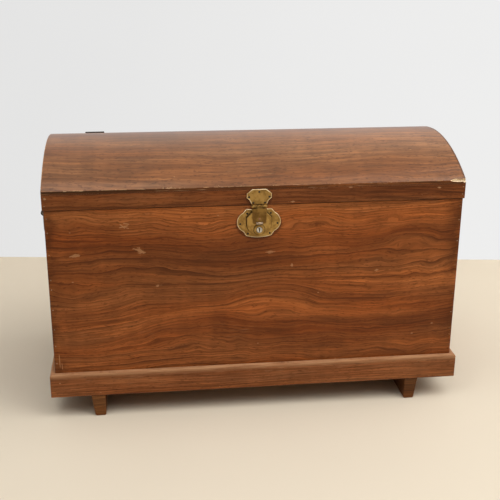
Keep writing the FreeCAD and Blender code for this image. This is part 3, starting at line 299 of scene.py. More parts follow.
def rubbed_arris(gap, along, reach, cover):
    """Where hands and knocks have worn an edge: gap is the distance from it, reach how deep the rubbing goes at most.
    """
    long_runs = cloud(along * 11.0, 0.0, 6.1, 2.0)
    small_chips = cloud(along * 130.0, gap * 160.0, 2.2, 3.0, 0.65)
    uneven = long_runs * 0.5 + small_chips * 0.5
    depth = reckon("DIVIDE", uneven - (0.72 - cover * 0.42), 0.22, True) * reach
    return (reckon("DIVIDE", depth - gap, depth * 0.45 + 0.00001, True),)


def scuffs(along, across, amount):
    """Short scratches along the grain and small nicks through the varnish."""
    stroke = cloud(along * 26.0, across * 520.0, 5.1, 2.0)
    where = cloud(along * 6.0, across * 22.0, 8.3, 2.0)
    spread = reckon("DIVIDE", where - (0.7 - amount * 0.3), 0.12, True)
    cells = lay("ShaderNodeTexVoronoi", {"Vector": spot_at(along * 26.0, across * 50.0, 0.0), "Scale": 1.0},
                voronoi_dimensions="2D")
    lot = lay("ShaderNodeSeparateColor", {0: cells["Color"]})
    hit, dot = lot[0] < amount * 0.12, cells["Distance"] < lot[1] * 0.065
    return fade(stroke, 0.6, 0.72) * spread, hit * dot


VENEER_FIGURE = shader_group("veneer_figure", ("Along", "Across", "Board", "Sway", "Ripple"),
                             ("Tone", "Zone", "Hue", "Streak", "Fibre", "Pore", "Curl"), veneer_figure)
RUBBED_ARRIS = shader_group("rubbed_arris", ("Gap", "Along", "Reach", "Cover"), ("Mask",), rubbed_arris)
SCUFFS = shader_group("scuffs", ("Along", "Across", "Amount"), ("Scratch", "Nick"), scuffs)


def rubbed(gap, along, reach, cover):
    return fill(RUBBED_ARRIS, Gap=gap, Along=along, Reach=reach, Cover=cover)["Mask"]


def scuffed(along, across, amount, scratch_share, nick_share=0.0):
    marks = fill(SCUFFS, Along=along, Across=across, Amount=amount)
    return most(marks["Scratch"] * scratch_share, marks["Nick"] * nick_share)


def new_finish(name):
    """An empty finish, and the place on the piece that it covers."""
    finish = bpy.data.materials.new(name)
    finish.use_nodes = True
    finish.node_tree.nodes.clear()
    return finish, lay("ShaderNodeTexCoord", {}, finish.node_tree)["Object"]


def surfaced(finish, height, strength, inputs):
    """Ends a finish with its relief and its surface."""
    normal = lay("ShaderNodeBump", {"Strength": strength, "Distance": RELIEF, "Height": height})[0]
    lay("ShaderNodeOutputMaterial", {0: lay("ShaderNodeBsdfPrincipled", {**inputs, "Normal": normal})[0]})
    return finish


def oval(along, across, middle, level, half_length, half_height):
    """How far a place lies from the middle of an oval: 1 on its line."""
    off_along, off_across = (along - middle) / half_length, (across - level) / half_height
    return off_along * off_along + off_across * off_across


def wood(name, tones, board, along="X", across="Z", sway=0.05, ripple=0.01, shine=0.4, gloss=0.1, varnish=0.08,
         streaks=0.85, zones=(0.78, 1.24), close=1.0, swells=(), wear_and_highlight=None, grime_and_shade=None):
    """Varnished wood. Board shifts the figure, zones shade it, close packs its lines, swells lift them, the rubbing
    mask gives where the varnish is gone and on the plinth a painted highlight, and the darkening mask where hands
    have darkened it and where shade is painted."""
    light, middle, dark, bare_and_highlight = tones
    finish, spot = new_finish(name)
    place = parts_of(spot)
    lines = place[across]
    for *bulge, lift in swells:
        lines = lines + fade(oval(place[along], place[across], *bulge), 1.0, 0.0, 0.0, -lift)
    third = "XYZ".replace(along, "").replace(across, "")
    figure = fill(VENEER_FIGURE, Along=place[along], Across=lines * close, Board=place[third] * 3.0 + board,
                  Sway=sway, Ripple=ripple)
    colour = tint(fade(figure["Tone"], 0.36, 0.64), middle, light)
    colour = tint(figure["Streak"] * streaks, colour, dark)
    shade = (fade(figure["Fibre"], 0.3, 0.7, 0.72, 1.32) * fade(figure["Curl"], 0.3, 0.7, 0.95, 1.07)
             * fade(figure["Zone"], 0.32, 0.68, *zones))
    greener, greyer = (shade * fade(figure["Hue"], 0.3, 0.7, *span) for span in ((0.92, 1.07), (0.82, 1.2)))
    colour = tint(figure["Pore"] * 0.5, shaded(colour, shade, greener, greyer), dark)
    rough = fade(figure["Fibre"], 0.2, 0.8, shine - 0.05, shine + 0.09)
    height, coat = figure["Fibre"] * 0.4 - figure["Pore"], varnish
    # The darkening mask: filth, and on some finishes painted shade.
    if grime_and_shade:
        colour = tint(grime_and_shade(place), colour, dark)
    if wear_and_highlight:
        mask = wear_and_highlight(place)
        colour = tint(mask, colour, bare_and_highlight)
        rough, height, coat = rough + mask * 0.25, height - mask * 2.0, (1.0 - mask) * varnish
    return surfaced(finish, height, 0.35, {"Base Color": colour, "Roughness": rough, "Specular IOR Level": gloss,
                                           "Coat Weight": coat, "Coat Roughness": 0.28})


def worn_patch(along, across, middle, level, half_length, half_height, lean=0.0):
    """A pointed, ragged fleck where the varnish has been knocked away. Lean tips it over along the grain."""
    off_along = (along - middle) / half_length
    tipped = (across - level) / half_height - off_along * lean
    ragged = cloud(along * 130.0, across * 420.0, 4.4, 3.0, 0.6)
    return fade(abs(off_along) + abs(tipped) + ragged * 2.6, 2.15, 1.85)


def scored(along, across, start, end, width):
    """A thin scratch drawn from start to end."""
    length = math.dist(start, end)
    way_along, way_across = (end[0] - start[0]) / length, (end[1] - start[1]) / length
    from_along, from_across = along - start[0], across - start[1]
    forward = from_along * way_along + from_across * way_across
    aside = from_along * way_across - from_across * way_along
    return fade(abs(aside), width, width * 0.4) * fade(abs(forward - length / 2), length / 2, length * 0.3)


def corner_gap(place):
    """Distance along the outside from the box's upright corners."""
    return (BOX_HALF_WIDTH - abs(place["X"])) + (BOX_HALF_DEPTH - abs(place["Y"]))


def round_plate(place, level, half_width, half_height):
    """Polish and filth left in the wood of the front round a metal plate, darkened further as painted shade of the
    plate's edge.
    """
    far = oval(place["X"], place["Z"], 0.0, level, half_width, half_height)
    return (place["Y"] < 0.0) * fade(far, 1.12, 0.94, 0.0, 0.65)


def front_wear(place):
    x, z = place["X"], place["Z"]
    flecks = [worn_patch(x, z, *spot) for spot in FRONT_FLECKS]
    scratches = [scored(x, z, *drawn) for drawn in FRONT_SCRATCHES]
    return most(rubbed(corner_gap(place), z, CORNER_REACH, CORNER_COVER), scuffed(x, z, 0.3, 0.4, 0.65),
                most(*flecks) * 0.75, most(*scratches) * 0.9)


def corner_smudges_and_shade(place):
    """Smudges near the corners, painted shade darkening the left side away from the light, and polish, filth and
    painted shade round the lock.
    """
    smudge = cloud(place["X"] * 30.0, place["Y"] * 30.0, place["Z"] * 26.0, 3.0, 0.6)
    smudged = fade(corner_gap(place), 0.04, 0.002) * fade(smudge, 0.35, 0.65, 0.1, 0.75)
    # Painted shade: darker towards the left, away from the light.
    painted_left_shade = fade(place["X"], 0.12, -0.3) * fade(smudge, 0.3, 0.7, 0.05, 0.22)
    return most(smudged, painted_left_shade, round_plate(place, 0.3785, 0.043, 0.0305))


def side_wear(place):
    return most(rubbed(corner_gap(place), place["Z"], CORNER_REACH, CORNER_COVER),
                scuffed(place["Y"], place["Z"], 0.4, 0.45, 0.75))


front_veneer = wood("front_veneer", PANEL_TONES, 2.0, swells=FRONT_SWELLS, wear_and_highlight=front_wear, grime_and_shade=corner_smudges_and_shade)
end_veneer = wood("end_veneer", PANEL_TONES, 6.0, along="Y", wear_and_highlight=side_wear, grime_and_shade=corner_smudges_and_shade)
inside_wood = wood("inside_wood", INSIDE_TONES, 11.0, sway=0.03, ripple=0.004, shine=0.62,
                   wear_and_highlight=lambda place: scuffed(place["X"], place["Z"] + place["Y"], 0.55, 0.5))
inside_end_wood = wood("inside_end_wood", INSIDE_TONES, 14.0, along="Y", sway=0.03, ripple=0.004, shine=0.62)


def inside_box(middle, normal):
    bare_wall = abs(middle.x) < INSIDE_HALF_WIDTH and abs(middle.y) < INSIDE_HALF_DEPTH and middle.z > INSIDE_FLOOR
    return bare_wall or middle.z > RIM


def dress_boards(nodes, outside, inside, left_bare):
    for node in nodes:
        paint_faces(eased_copy(node, BOARD_EASE, (outside, inside), "varnished_wood"), 1, left_bare)


dress_boards(("front_panel", "back_panel"), front_veneer, inside_wood, inside_box)
dress_boards(("left_end_panel", "right_end_panel"), end_veneer, inside_end_wood, inside_box)
eased_copy("bottom_panel", BOTTOM_EASE, (inside_wood,), "varnished_wood")

# ---
# Panel nails. Small wire nails that hold front and back to the ends, driven in a row down each corner and at
# the ends of the lid's rails, their steel heads rubbed bright or gone brown.
NAIL_HEAD = ((0.0, 0.0003), (0.00075, 0.00028), (0.0012, 0.00012), (0.00125, -0.0006), (0.0, -0.0006))
NAIL_INSET = 0.0048
NAIL_LEVELS = (0.112, 0.148, 0.1823, 0.2222, 0.2629, 0.2819, 0.3309, 0.3732, 0.4)
LID_NAIL_LEVELS = (0.4245, 0.439)


def turned(name, outline, sides):
    """A mesh turned about its upright axis from (radius, height) points, from the top down."""
    shape = bmesh.new()
    rings = []
    for radius, height in outline:
        turns = [2 * math.pi * i / sides for i in range(sides if radius else 1)]
        rings.append([shape.verts.new((radius * math.cos(turn), radius * math.sin(turn), height))
                      for turn in turns])
    for upper, lower in zip(rings, rings[1:]):
        for i in range(sides):
            corners = [upper[i % len(upper)], lower[i % len(lower)], lower[(i + 1) % len(lower)],
                       upper[(i + 1) % len(upper)]]
            shape.faces.new(list(dict.fromkeys(corners)))
    bmesh.ops.recalc_face_normals(shape, faces=shape.faces)
    mesh = mesh_of(shape, name)
    mesh.shade_smooth()
    mesh.set_sharp_from_angle(angle=math.radians(40))
    return mesh


def new_jig(name, inputs, work):
    """A geometry node tree that gives a finish to the shape that work makes of its inputs."""
    tree = bpy.data.node_groups.new(name, "GeometryNodeTree")
    for label, kind in (*inputs, ("Finish", "Material")):
        tree.interface.new_socket(label, in_out="INPUT", socket_type="NodeSocket" + kind)
    tree.interface.new_socket("Shape", in_out="OUTPUT", socket_type="NodeSocketGeometry")
    given = lay("NodeGroupInput", {}, tree)
    solid = lay("GeometryNodeRealizeInstances", {0: work(given)})[0]
    finished = lay("GeometryNodeSetMaterial", {"Geometry": solid, "Material": given["Finish"]})[0]
    lay("NodeGroupOutput", {"Shape": finished})
    return tree


def run_jig(piece, jig, values):
    """Puts a piece through a geometry node tree and leaves it a plain mesh."""
    modifier = piece.modifiers.new(jig.name, "NODES")
    modifier.node_group = jig
    for socket in jig.interface.items_tree:
        if socket.in_out == "INPUT" and socket.name in values:
            modifier[socket.identifier] = values[socket.name]
    settle(piece)


def driven_heads(given):
    """Sets a head at each spot, its top along the spot's facing and spun by chance as screws are."""
    head = lay("GeometryNodeObjectInfo", {"Object": given["Head"]})["Geometry"]
    facing = lay("GeometryNodeInputNamedAttribute", {"Name": "facing"}, given["Head"].tree,
                 data_type="FLOAT_VECTOR")[0]
    spin = lay("FunctionNodeRandomValue", {2: 0.0, 3: 2 * math.pi, "Seed": given["Seed"]}, data_type="FLOAT")[1]
    upright = lay("FunctionNodeAlignRotationToVector", {"Vector": facing}, axis="Z")[0]
    about = lay("FunctionNodeEulerToRotation", {0: spot_at(0.0, 0.0, spin)})[0]
    turn = lay("FunctionNodeRotateRotation", {0: upright, 1: about}, rotation_space="LOCAL")[0]
    return lay("GeometryNodeInstanceOnPoints", {"Points": given["Spots"], "Instance": head, "Rotation": turn,
                                                "Scale": given["Size"]})[0]


DRIVEN_HEADS = new_jig("driven_heads", (("Spots", "Geometry"), ("Head", "Object"), ("Size", "Float"),
                                        ("Seed", "Int")), driven_heads)


def drive(name, body, spots, head_mesh, finish, slot, stands_for=(), size=1.0, seed=1):
    """Drives a head in at each (place, facing) spot and leaves one plain mesh."""
    points = bpy.data.meshes.new(name)
    points.from_pydata([place for place, facing in spots], [], [])
    facings = points.attributes.new("facing", "FLOAT_VECTOR", "POINT")
    for i, (place, facing) in enumerate(spots):
        facings.data[i].vector = facing
    head = add_piece(name + "_head", head_mesh)
    piece = add_piece(name, points)
    run_jig(piece, DRIVEN_HEADS, {"Head": head, "Finish": finish, "Size": size, "Seed": seed})
    bpy.data.objects.remove(head)
    enter(piece, body, slot, *stands_for)


def metal_age(place, blotch):
    """Age on metal: broad stain, pits and the fine scratches of years of wiping."""
    spread = lay("ShaderNodeVectorMath", {0: place, 3: blotch}, operation="SCALE")[0]
    parts = parts_of(place)
    wiped = cloud(parts["X"] * 240.0, parts["Y"] * 900.0, parts["Z"] * 2600.0, 2.0)
    return noise_at(spread, 1.0, 4.0, 0.6), fade(noise_at(spread, 9.0, 2.0, 0.6), 0.6, 0.72), wiped


METAL_AGE = shader_group("metal_age", ("Place", "Blotch"), ("Stain", "Pit", "Scratch"), metal_age)


def metal(name, bright, dull, pitted, blotch, shine, metallic=1.0, pit_share=0.6, hammered=0.0, dirt_and_shade=None):
    """Aged metal whose colour runs from rubbed bright to dull, with darker pits. The darkening mask gives where filth
    and painted crease shade lie.
    """
    finish, spot = new_finish(name)
    age = fill(METAL_AGE, Place=spot, Blotch=blotch)
    colour = tint(fade(age["Stain"], 0.38, 0.62), bright, dull)
    colour = tint(age["Pit"] * pit_share, colour, pitted)
    wiped = fade(age["Scratch"], 0.3, 0.7, 0.9, 1.08)
    colour = shaded(colour, wiped, wiped, wiped)
    rough = fade(age["Stain"], 0.35, 0.65, shine, shine + 0.16) + (age["Pit"] * 0.2 + age["Scratch"] * 0.06)
    height = age["Scratch"] * 0.25 - age["Pit"]
    if dirt_and_shade:
        mask = dirt_and_shade(parts_of(spot))
        colour, rough = tint(mask, colour, pitted), rough + mask * 0.3
    if hammered:
        blows = lay("ShaderNodeTexVoronoi", {"Vector": spot, "Scale": hammered}, feature="SMOOTH_F1")
        height = height + blows["Distance"] * 3.0
    return surfaced(finish, height, 0.4, {"Base Color": colour, "Roughness": rough, "Metallic": metallic})


nail_steel = metal("nail_steel", (0.36, 0.25, 0.165), (0.17, 0.098, 0.055), (0.06, 0.034, 0.019), 160.0, 0.45)
nail_mesh = turned("nail_head_shape", NAIL_HEAD, 10)


def nail_rows(half_width, front, back, levels):
    """Spots for a row of nails at each corner, on the front and on the back."""
    return [(Vector((side * (half_width - NAIL_INSET), y, level)), Vector((0, face, 0)))
            for face, y in ((-1, front), (1, back)) for side in (-1, 1) for level in levels]


box_rows = nail_rows(BOX_HALF_WIDTH, -BOX_HALF_DEPTH, BOX_HALF_DEPTH, NAIL_LEVELS)
lid_rows = nail_rows(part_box("lid_front_rail")[1].x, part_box("lid_front_rail")[0].y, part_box("lid_back_rail")[1].y,
                     LID_NAIL_LEVELS)
drive("panel_nails", "carcass", box_rows, nail_mesh, nail_steel, "dark_iron", seed=3)
drive("lid_nails", "lid", lid_rows, nail_mesh, nail_steel, "dark_iron", seed=5)

# ---
# Plinth. A moulded skirting of the same wood, mitred at the four corners and nailed round the foot of the
# box, its rounded top arris rubbed pale by years of shoes and brooms, and lighter still as a painted highlight.
PLINTH_FOOT, PLINTH_TOP = (corner.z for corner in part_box("plinth_front"))
PLINTH_EASE = 0.0007
PLINTH_TONES = ((0.268, 0.092, 0.0285), (0.182, 0.056, 0.0155), (0.068, 0.019, 0.0048), (0.42, 0.215, 0.105))


def plinth_wear_and_highlight(along):
    def worn(place):
        run, z = place[along], place["Z"]
        top_gap = PLINTH_TOP - z
        uneven = cloud(run * 16.0, z * 420.0, 6.6, 4.0, 0.65)
        # The pale band along the top arris is rubbed bare and also a painted highlight where the top catches the
        # light.
        polished_and_highlit = fade(top_gap, 0.012, 0.002) * fade(uneven, 0.36, 0.62, 0.42, 0.98)
        scratch_share = (fade(top_gap, 0.026, 0.004) + 0.25) * 0.85
        return most(polished_and_highlit, rubbed(top_gap, run, 0.0065, 0.55) * 0.7,
                    rubbed(z - PLINTH_FOOT, run + 3.0, 0.003, 0.4) * 0.6,
                    scuffed(run, z, 0.86, scratch_share, 0.7))
    return worn


plinth_wood = wood("plinth_wood", PLINTH_TONES, 21.0, sway=0.018, ripple=0.005, wear_and_highlight=plinth_wear_and_highlight("X"))
plinth_end_wood = wood("plinth_end_wood", PLINTH_TONES, 24.0, along="Y", sway=0.018, ripple=0.005,
                       wear_and_highlight=plinth_wear_and_highlight("Y"))
for side, finish in (("front", plinth_wood), ("back", plinth_wood), ("left", plinth_end_wood),
                     ("right", plinth_end_wood)):
    eased_copy("plinth_" + side, PLINTH_EASE, (finish,), "varnished_wood")

# ---
# Runners. Two bearers of plain stained wood from front to back that carry the trunk, their outer sides
# planed to a slant, each held by three screws sunk from below.
RUNNER_EASE = 0.0015
RUNNER_TONES = ((0.19, 0.07, 0.019), (0.135, 0.047, 0.0125), (0.056, 0.0175, 0.0045), (0.36, 0.2, 0.1))
SCREW_RADIUS, SCREW_RISE, SCREW_SUNK, SLOT_WIDTH, SLOT_DEPTH = 0.0038, 0.0018, 0.0006, 0.0009, 0.0009


def runner_wear(place):
    x, y, z = (place[axis] for axis in "XYZ")
    return most(rubbed(z, y + x, 0.006, 0.52) * 0.7, scuffed(y, z + x, 0.6, 0.5))


runner_wood = wood("runner_wood", RUNNER_TONES, 31.0, along="Y", sway=0.012, ripple=0.004, shine=0.52,
                   wear_and_highlight=runner_wear)
for side in ("left", "right"):
    eased_copy(side + "_runner", RUNNER_EASE, (runner_wood,), "varnished_wood")


def cut_away(piece, tool, **settings):
    """Cuts a tool's shape out of a piece and puts the tool away."""
    cut = piece.modifiers.new("cut", "BOOLEAN")
    cut.operation, cut.object, cut.solver = "DIFFERENCE", tool, "EXACT"
    for key, value in settings.items():
        setattr(cut, key, value)
    settle(piece)
    bpy.data.objects.remove(tool)


def slotted_head(name):
    """A round screw head with a sawn slot."""
    outline = [(SCREW_RADIUS * math.sin(turn), SCREW_RISE * math.cos(turn))
               for turn in (math.radians(a) for a in (0, 25, 48, 68, 84))]
    outline += [(SCREW_RADIUS, 0.0), (SCREW_RADIUS * 0.9, -SCREW_SUNK), (0.0, -SCREW_SUNK)]
    head = add_piece(name, turned(name, outline, 20))
    saw = bmesh.new()
    bmesh.ops.create_cube(saw, size=1.0, matrix=Matrix.Translation((0, 0, SCREW_RISE)) @ Matrix.Diagonal(
        (3 * SCREW_RADIUS, SLOT_WIDTH, 2 * SLOT_DEPTH, 1)))
    cut_away(head, add_piece(name + "_saw", mesh_of(saw, name + "_saw")))
    mesh = head.data
    bpy.data.objects.remove(head)
    return mesh


def joined_groups(edges):
    """The points of the given edges, in groups that the edges join."""
    beside = {}
    for edge in edges:
        for vert in edge.verts:
            beside.setdefault(vert, []).append(edge.other_vert(vert))
    left = dict.fromkeys(beside)
    while left:
        reached, waiting = [], [left.popitem()[0]]
        while waiting:
            reached.append(waiting.pop())
            for other in beside[reached[-1]]:
                if other in left:
                    del left[other]
                    waiting.append(other)
        yield reached


def head_spots(node, facing_of, rise):
    """The seat and facing of each screw or pin in a node, whose head has the given rise."""
    shape = welded(node)
    spots = []
    for reached in joined_groups(shape.edges):
        middle = sum((vert.co for vert in reached), Vector()) / len(reached)
        facing = facing_of(middle).normalized()
        height = max(vert.co.dot(facing) for vert in reached)
        spots.append((middle + facing * (height - middle.dot(facing)), facing))
    shape.free()
    spots.sort(key=lambda spot: tuple(round(v, 4) for v in spot[0]))
    return [(top - facing * rise, facing) for top, facing in spots]


dark_iron = metal("dark_iron", (0.115, 0.1, 0.088), (0.05, 0.043, 0.038), (0.105, 0.05, 0.024), 70.0, 0.42,
                  metallic=0.85, pit_share=0.5, hammered=130.0)
screw_iron = metal("screw_iron", (0.19, 0.165, 0.14), (0.075, 0.062, 0.053), (0.12, 0.055, 0.025), 150.0, 0.38,
                   metallic=0.9)
screw_mesh = slotted_head("screw_head_shape")


def drive_screws(name, node, facing_of, seed):
    drive(name, frame["nodes"][node]["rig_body"], head_spots(node, facing_of, SCREW_RISE), screw_mesh, screw_iron,
          "dark_iron", (node,), seed=seed)


drive_screws("runner_screw_heads", "runner_screws", lambda middle: Vector((0, 0, -1)), 11)

# ---
# Lid frame. Four low boards glued and nailed into a frame under the dome: rails in front and behind, and two
# ends sawn to the dome's curve. Veneered like the box, darker round the hasp where hands lift the lid, from filth and
# painted shade.
LID_HALF_WIDTH, LID_FRONT = 0.392, -0.193
LID_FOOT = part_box("lid_front_rail")[0].z
LID_INSIDE_X, LID_INSIDE_FRONT, LID_INSIDE_BACK = 0.3805, -0.1815, 0.1795
LID_TONES = ((0.264, 0.089, 0.0255), (0.17, 0.0478, 0.0111), (0.062, 0.016, 0.0034), (0.46, 0.25, 0.12))
RAIL_FLECKS = ((0.34, 0.4386, 0.006, 0.0026), (-0.3854, 0.4384, 0.004, 0.003), (0.171, 0.444, 0.005, 0.002),
               (0.062, 0.4195, 0.01, 0.002))


def lid_rail_wear(place):
    x, z = place["X"], place["Z"]
    flecks = [worn_patch(x, z, *spot) for spot in RAIL_FLECKS]
    return most(rubbed(z - LID_FOOT, x, 0.0024, 0.4) * 0.7, rubbed(LID_HALF_WIDTH - abs(x), z, 0.004, 0.5),
                scuffed(x, z, 0.35, 0.45, 0.7), most(*flecks) * 0.7)


# Round the hasp plate the rail is darkened by filth and painted shade.
rail_veneer = wood("rail_veneer", LID_TONES, 41.0, sway=0.016, ripple=0.006, zones=(0.9, 1.12), wear_and_highlight=lid_rail_wear,
                   grime_and_shade=lambda place: round_plate(place, 0.429, 0.0245, 0.019))
lid_end_veneer = wood("lid_end_veneer", LID_TONES, 44.0, along="Y", sway=0.03, ripple=0.008, wear_and_highlight=side_wear)


def inside_lid(middle, normal):
    bare_wall = abs(middle.x) < LID_INSIDE_X and LID_INSIDE_FRONT < middle.y < LID_INSIDE_BACK
    return bare_wall or middle.z < LID_FOOT + 0.0004


dress_boards(("lid_front_rail", "lid_back_rail"), rail_veneer, inside_wood, inside_lid)
dress_boards(("lid_left_end", "lid_right_end"), lid_end_veneer, inside_end_wood, inside_lid)

# ---
# Dome. One sheet of thin plywood bent over the lid's ends and glued down, veneered in a lighter, straighter
# figure. Its cut edges show the plies, its front arris is chipped, and a splinter is gone at the right corner.
DOME_EDGE, DOME_SKIN, DOME_EASE = 0.4516, 0.006, 0.0009
DOME_LOW, DOME_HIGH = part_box("lid_dome_skin")
DOME_MIDDLE_Y, DOME_RISE = (DOME_LOW.y + DOME_HIGH.y) / 2, DOME_HIGH.z - DOME_EDGE
DOME_RADIUS = (((DOME_HIGH.y - DOME_LOW.y) / 2) ** 2 + DOME_RISE ** 2) / (2 * DOME_RISE)
DOME_MIDDLE_Z = DOME_HIGH.z - DOME_RADIUS
DOME_TONES = ((0.266, 0.112, 0.04), (0.198, 0.071, 0.02), (0.064, 0.022, 0.007), (0.5, 0.3, 0.155))
PLY_TONES = ((0.232, 0.077, 0.0215), (0.154, 0.045, 0.0112), (0.048, 0.019, 0.0055), (0.58, 0.38, 0.21))
CHIP_TONES = ((0.86, 0.68, 0.44), (0.74, 0.55, 0.33), (0.42, 0.26, 0.14), (0.8, 0.6, 0.4))
KNOCK_TONES = ((0.6, 0.4, 0.215), (0.45, 0.275, 0.135), (0.24, 0.125, 0.057), (0.6, 0.4, 0.25))
# Fresh chips at the right corner: middle, then half length, depth and height.
CHIPS = [(0.3775, LID_FRONT, DOME_EDGE + 0.0002, 0.0185, 0.0042, 0.0036),
         (0.3895, LID_FRONT, DOME_EDGE, 0.0055, 0.0055, 0.0046)]
FRESH = len(CHIPS)


def dome_wear(place):
    x, y = place["X"], place["Y"]
    front = rubbed(y - LID_FRONT, x, 0.0016, 0.46) * fade(x, 0.2, -0.05, 0.48, 0.7)
    specks = rubbed(y - LID_FRONT, x * 2.0, 0.016, 0.36) * fade(x, 0.08, -0.08, 0.1, 0.55)
    ends = rubbed(LID_HALF_WIDTH - abs(x), y, 0.0022, fade(x, 0.1, -0.3, 0.44, 0.74))
    return most(front, specks, ends * 0.7, scuffed(x, y, 0.36, 0.3, 0.5))


def dome_stains_and_shade(place):
    """The left is darkened as painted shade, away from the light. A stain and an old crack lie left of the lock, and
    the right edge is dark."""
    x, y = place["X"], place["Y"]
    smudge = cloud(x * 6.0, y * 14.0, 7.7, 3.0)
    # Painted shade: darker towards the left, away from the light.
    painted_left_shade = fade(x, 0.25, -0.3) * fade(smudge, 0.3, 0.7, 0.06, 0.3)
    stain = worn_patch(x, y, -0.078, -0.1335, 0.034, 0.011)
    crack = scored(x, y, (-0.122, -0.158), (-0.05, -0.1594), 0.0017)
    edge = fade(x, LID_HALF_WIDTH - 0.005, LID_HALF_WIDTH - 0.0015)
    return most(painted_left_shade, stain * 0.34, crack * 0.6, edge * 0.7)


def ply_wear(place):
    x, z = place["X"], place["Z"]
    return most(rubbed(DOME_EDGE - z, x, 0.0026, 0.5) * fade(x, 0.2, -0.05, 0.35, 0.9), scuffed(x, z, 0.5, 0.5))


def ply_stain(place):
    """The dark glue line under the skin, and the olive stain along the top of the cut edge on the left."""
    x, z = place["X"], place["Z"]
    left = fade(x, -0.06, -0.26, 0.0, 0.85) * fade(z, DOME_EDGE - 0.005, DOME_EDGE - 0.003)
    return most(left, fade(z - (DOME_EDGE - DOME_SKIN - 0.0009), 0.0016, 0.0004, 0.0, 0.35))


dome_veneer = wood("dome_veneer", DOME_TONES, 51.0, across="Y", sway=0.03, ripple=0.004, shine=0.46, gloss=0.06,
                   varnish=0.56, streaks=0.58, zones=(0.91, 1.1), close=0.58, wear_and_highlight=dome_wear, grime_and_shade=dome_stains_and_shade)
ply_edge = wood("ply_edge", PLY_TONES, 54.0, sway=0.004, ripple=0.002, shine=0.5, wear_and_highlight=ply_wear, grime_and_shade=ply_stain)
ply_end = wood("ply_end", PLY_TONES, 57.0, along="Y", sway=0.004, ripple=0.002, shine=0.5)
fresh_chip = wood("fresh_chip", CHIP_TONES, 61.0, sway=0.004, ripple=0.003, shine=0.65, streaks=0.4)
old_knock = wood("old_knock", KNOCK_TONES, 64.0, sway=0.004, ripple=0.003, shine=0.6)


def under_dome(middle, normal):
    reach = math.hypot(middle.y - DOME_MIDDLE_Y, middle.z - DOME_MIDDLE_Z)
    return reach < DOME_RADIUS - DOME_SKIN + 0.0008


dome = eased_copy("lid_dome_skin", DOME_EASE, (dome_veneer, ply_edge, ply_end, inside_wood, fresh_chip, old_knock),
                  "dome_wood", steps=3)
paint_faces(dome, 3, under_dome)
paint_faces(dome, 1, lambda middle, normal: abs(normal.y) > 0.9 and middle.z < DOME_EDGE - 0.0004)
paint_faces(dome, 2, lambda middle, normal: abs(normal.x) > 0.9)

chance = random.Random(17)
knock_spots = [chance.uniform(-0.385, 0.05) for i in range(17)] + [chance.uniform(0.05, 0.34) for i in range(4)]
for knock_x in sorted(knock_spots):
    CHIPS.append((knock_x, LID_FRONT, DOME_EDGE + 0.0001, chance.uniform(0.002, 0.011),
                  chance.uniform(0.0004, 0.0009), chance.uniform(0.0004, 0.0008)))
knocks = bmesh.new()
for number, (x, y, z, *half_size) in enumerate(CHIPS):
    lump = bmesh.ops.create_icosphere(knocks, subdivisions=2, radius=1.0)["verts"]
    for face in {face for vert in lump for face in vert.link_faces}:
        face.material_index = 0 if number < FRESH else 1
    for vert in lump:
        rough_size = 1.0 + 0.28 * noise.noise(vert.co * 1.9 + Vector((x * 90, 0, 0)))
        vert.co = [start + part * half * rough_size for start, part, half in zip((x, y, z), vert.co, half_size)]
knock = add_piece("dome_knocks", mesh_of(knocks, "dome_knocks"))
for finish in (fresh_chip, old_knock):
    knock.data.materials.append(finish)
cut_away(dome, knock, material_mode="TRANSFER", use_self=True)

# ---
# Strap hinges. Two forged iron straps at the back, rolled round iron pins at the lid's foot: the lower leaf
# screwed down the back board, the upper one bent over the dome's edge. The left tip is sprung off the wood.
STRAP_EASE, HINGE_PIN_EASE = 0.0004, 0.0003


def lid_screw_facing(middle):
    over_dome = middle.z > DOME_EDGE - 0.004
    return Vector((0, middle.y - DOME_MIDDLE_Y, middle.z - DOME_MIDDLE_Z)) if over_dome else Vector((0, 1, 0))


for side in ("left", "right"):
    for leaf in ("body", "lid"):
        eased_copy(f"{side}_hinge_{leaf}_strap", STRAP_EASE, (dark_iron,), "dark_iron")
    eased_copy(f"{side}_hinge_pin", HINGE_PIN_EASE, (screw_iron,), "dark_iron")
drive_screws("hinge_body_screw_heads", "hinge_body_screws", lambda middle: Vector((0, 1, 0)), 21)
drive_screws("hinge_lid_screw_heads", "hinge_lid_screws", lid_screw_facing, 23)

# ---
# Lock. A pressed brass plate with a raised shield, pinned to the front board, with a brass collar, a steel
# key plug that turns a cam behind the board, and a forked bolt that the cam drives under a steel cover.
PIN_HEAD = ((0.0, 0.00085), (0.0008, 0.0007), (0.00145, 0.0003), (0.0017, 0.0), (0.0016, -0.0006), (0.0, -0.0006))
PIN_RISE, PIN_SIZE = 0.00085, 1.2
PRESSED_EDGE, ROLLED_EDGE, CREVICE_DARK_WIDTH = 0.001, 0.0008, 0.0019
LOCK_FOOT, LOCK_AXIS, COLLAR_RADIUS, PLUG_EASE, KEYWAY = 0.35, 0.3693, 0.0098, 0.0006, 0.006
SHIELD_HALF, SHIELD_TURN, SHIELD_SHOULDER, SHIELD_TOP = 0.02325, 0.01196, 0.0232, 0.0331


def pressed_plate(node, finishes, slot):
    """Stands for a pressed plate, with its front arrises rolled over."""
    shape = whole_faces(welded(node, 1e-4))
    arrises = []
    for edge in shape.edges:
        if len(edge.link_faces) == 2 and edge.is_convex and edge.calc_face_angle() > math.radians(50):
            lean = sorted(face.normal.y for face in edge.link_faces)
            if lean[0] < -0.85 and abs(lean[1]) < 0.5:
                arrises.append(edge)
    bmesh.ops.bevel(shape, geom=arrises, offset=PRESSED_EDGE, segments=3, profile=0.5, affect="EDGES",
                    clamp_overlap=False)
    return stand_in(node, node + "_pressed", shape, finishes, slot)


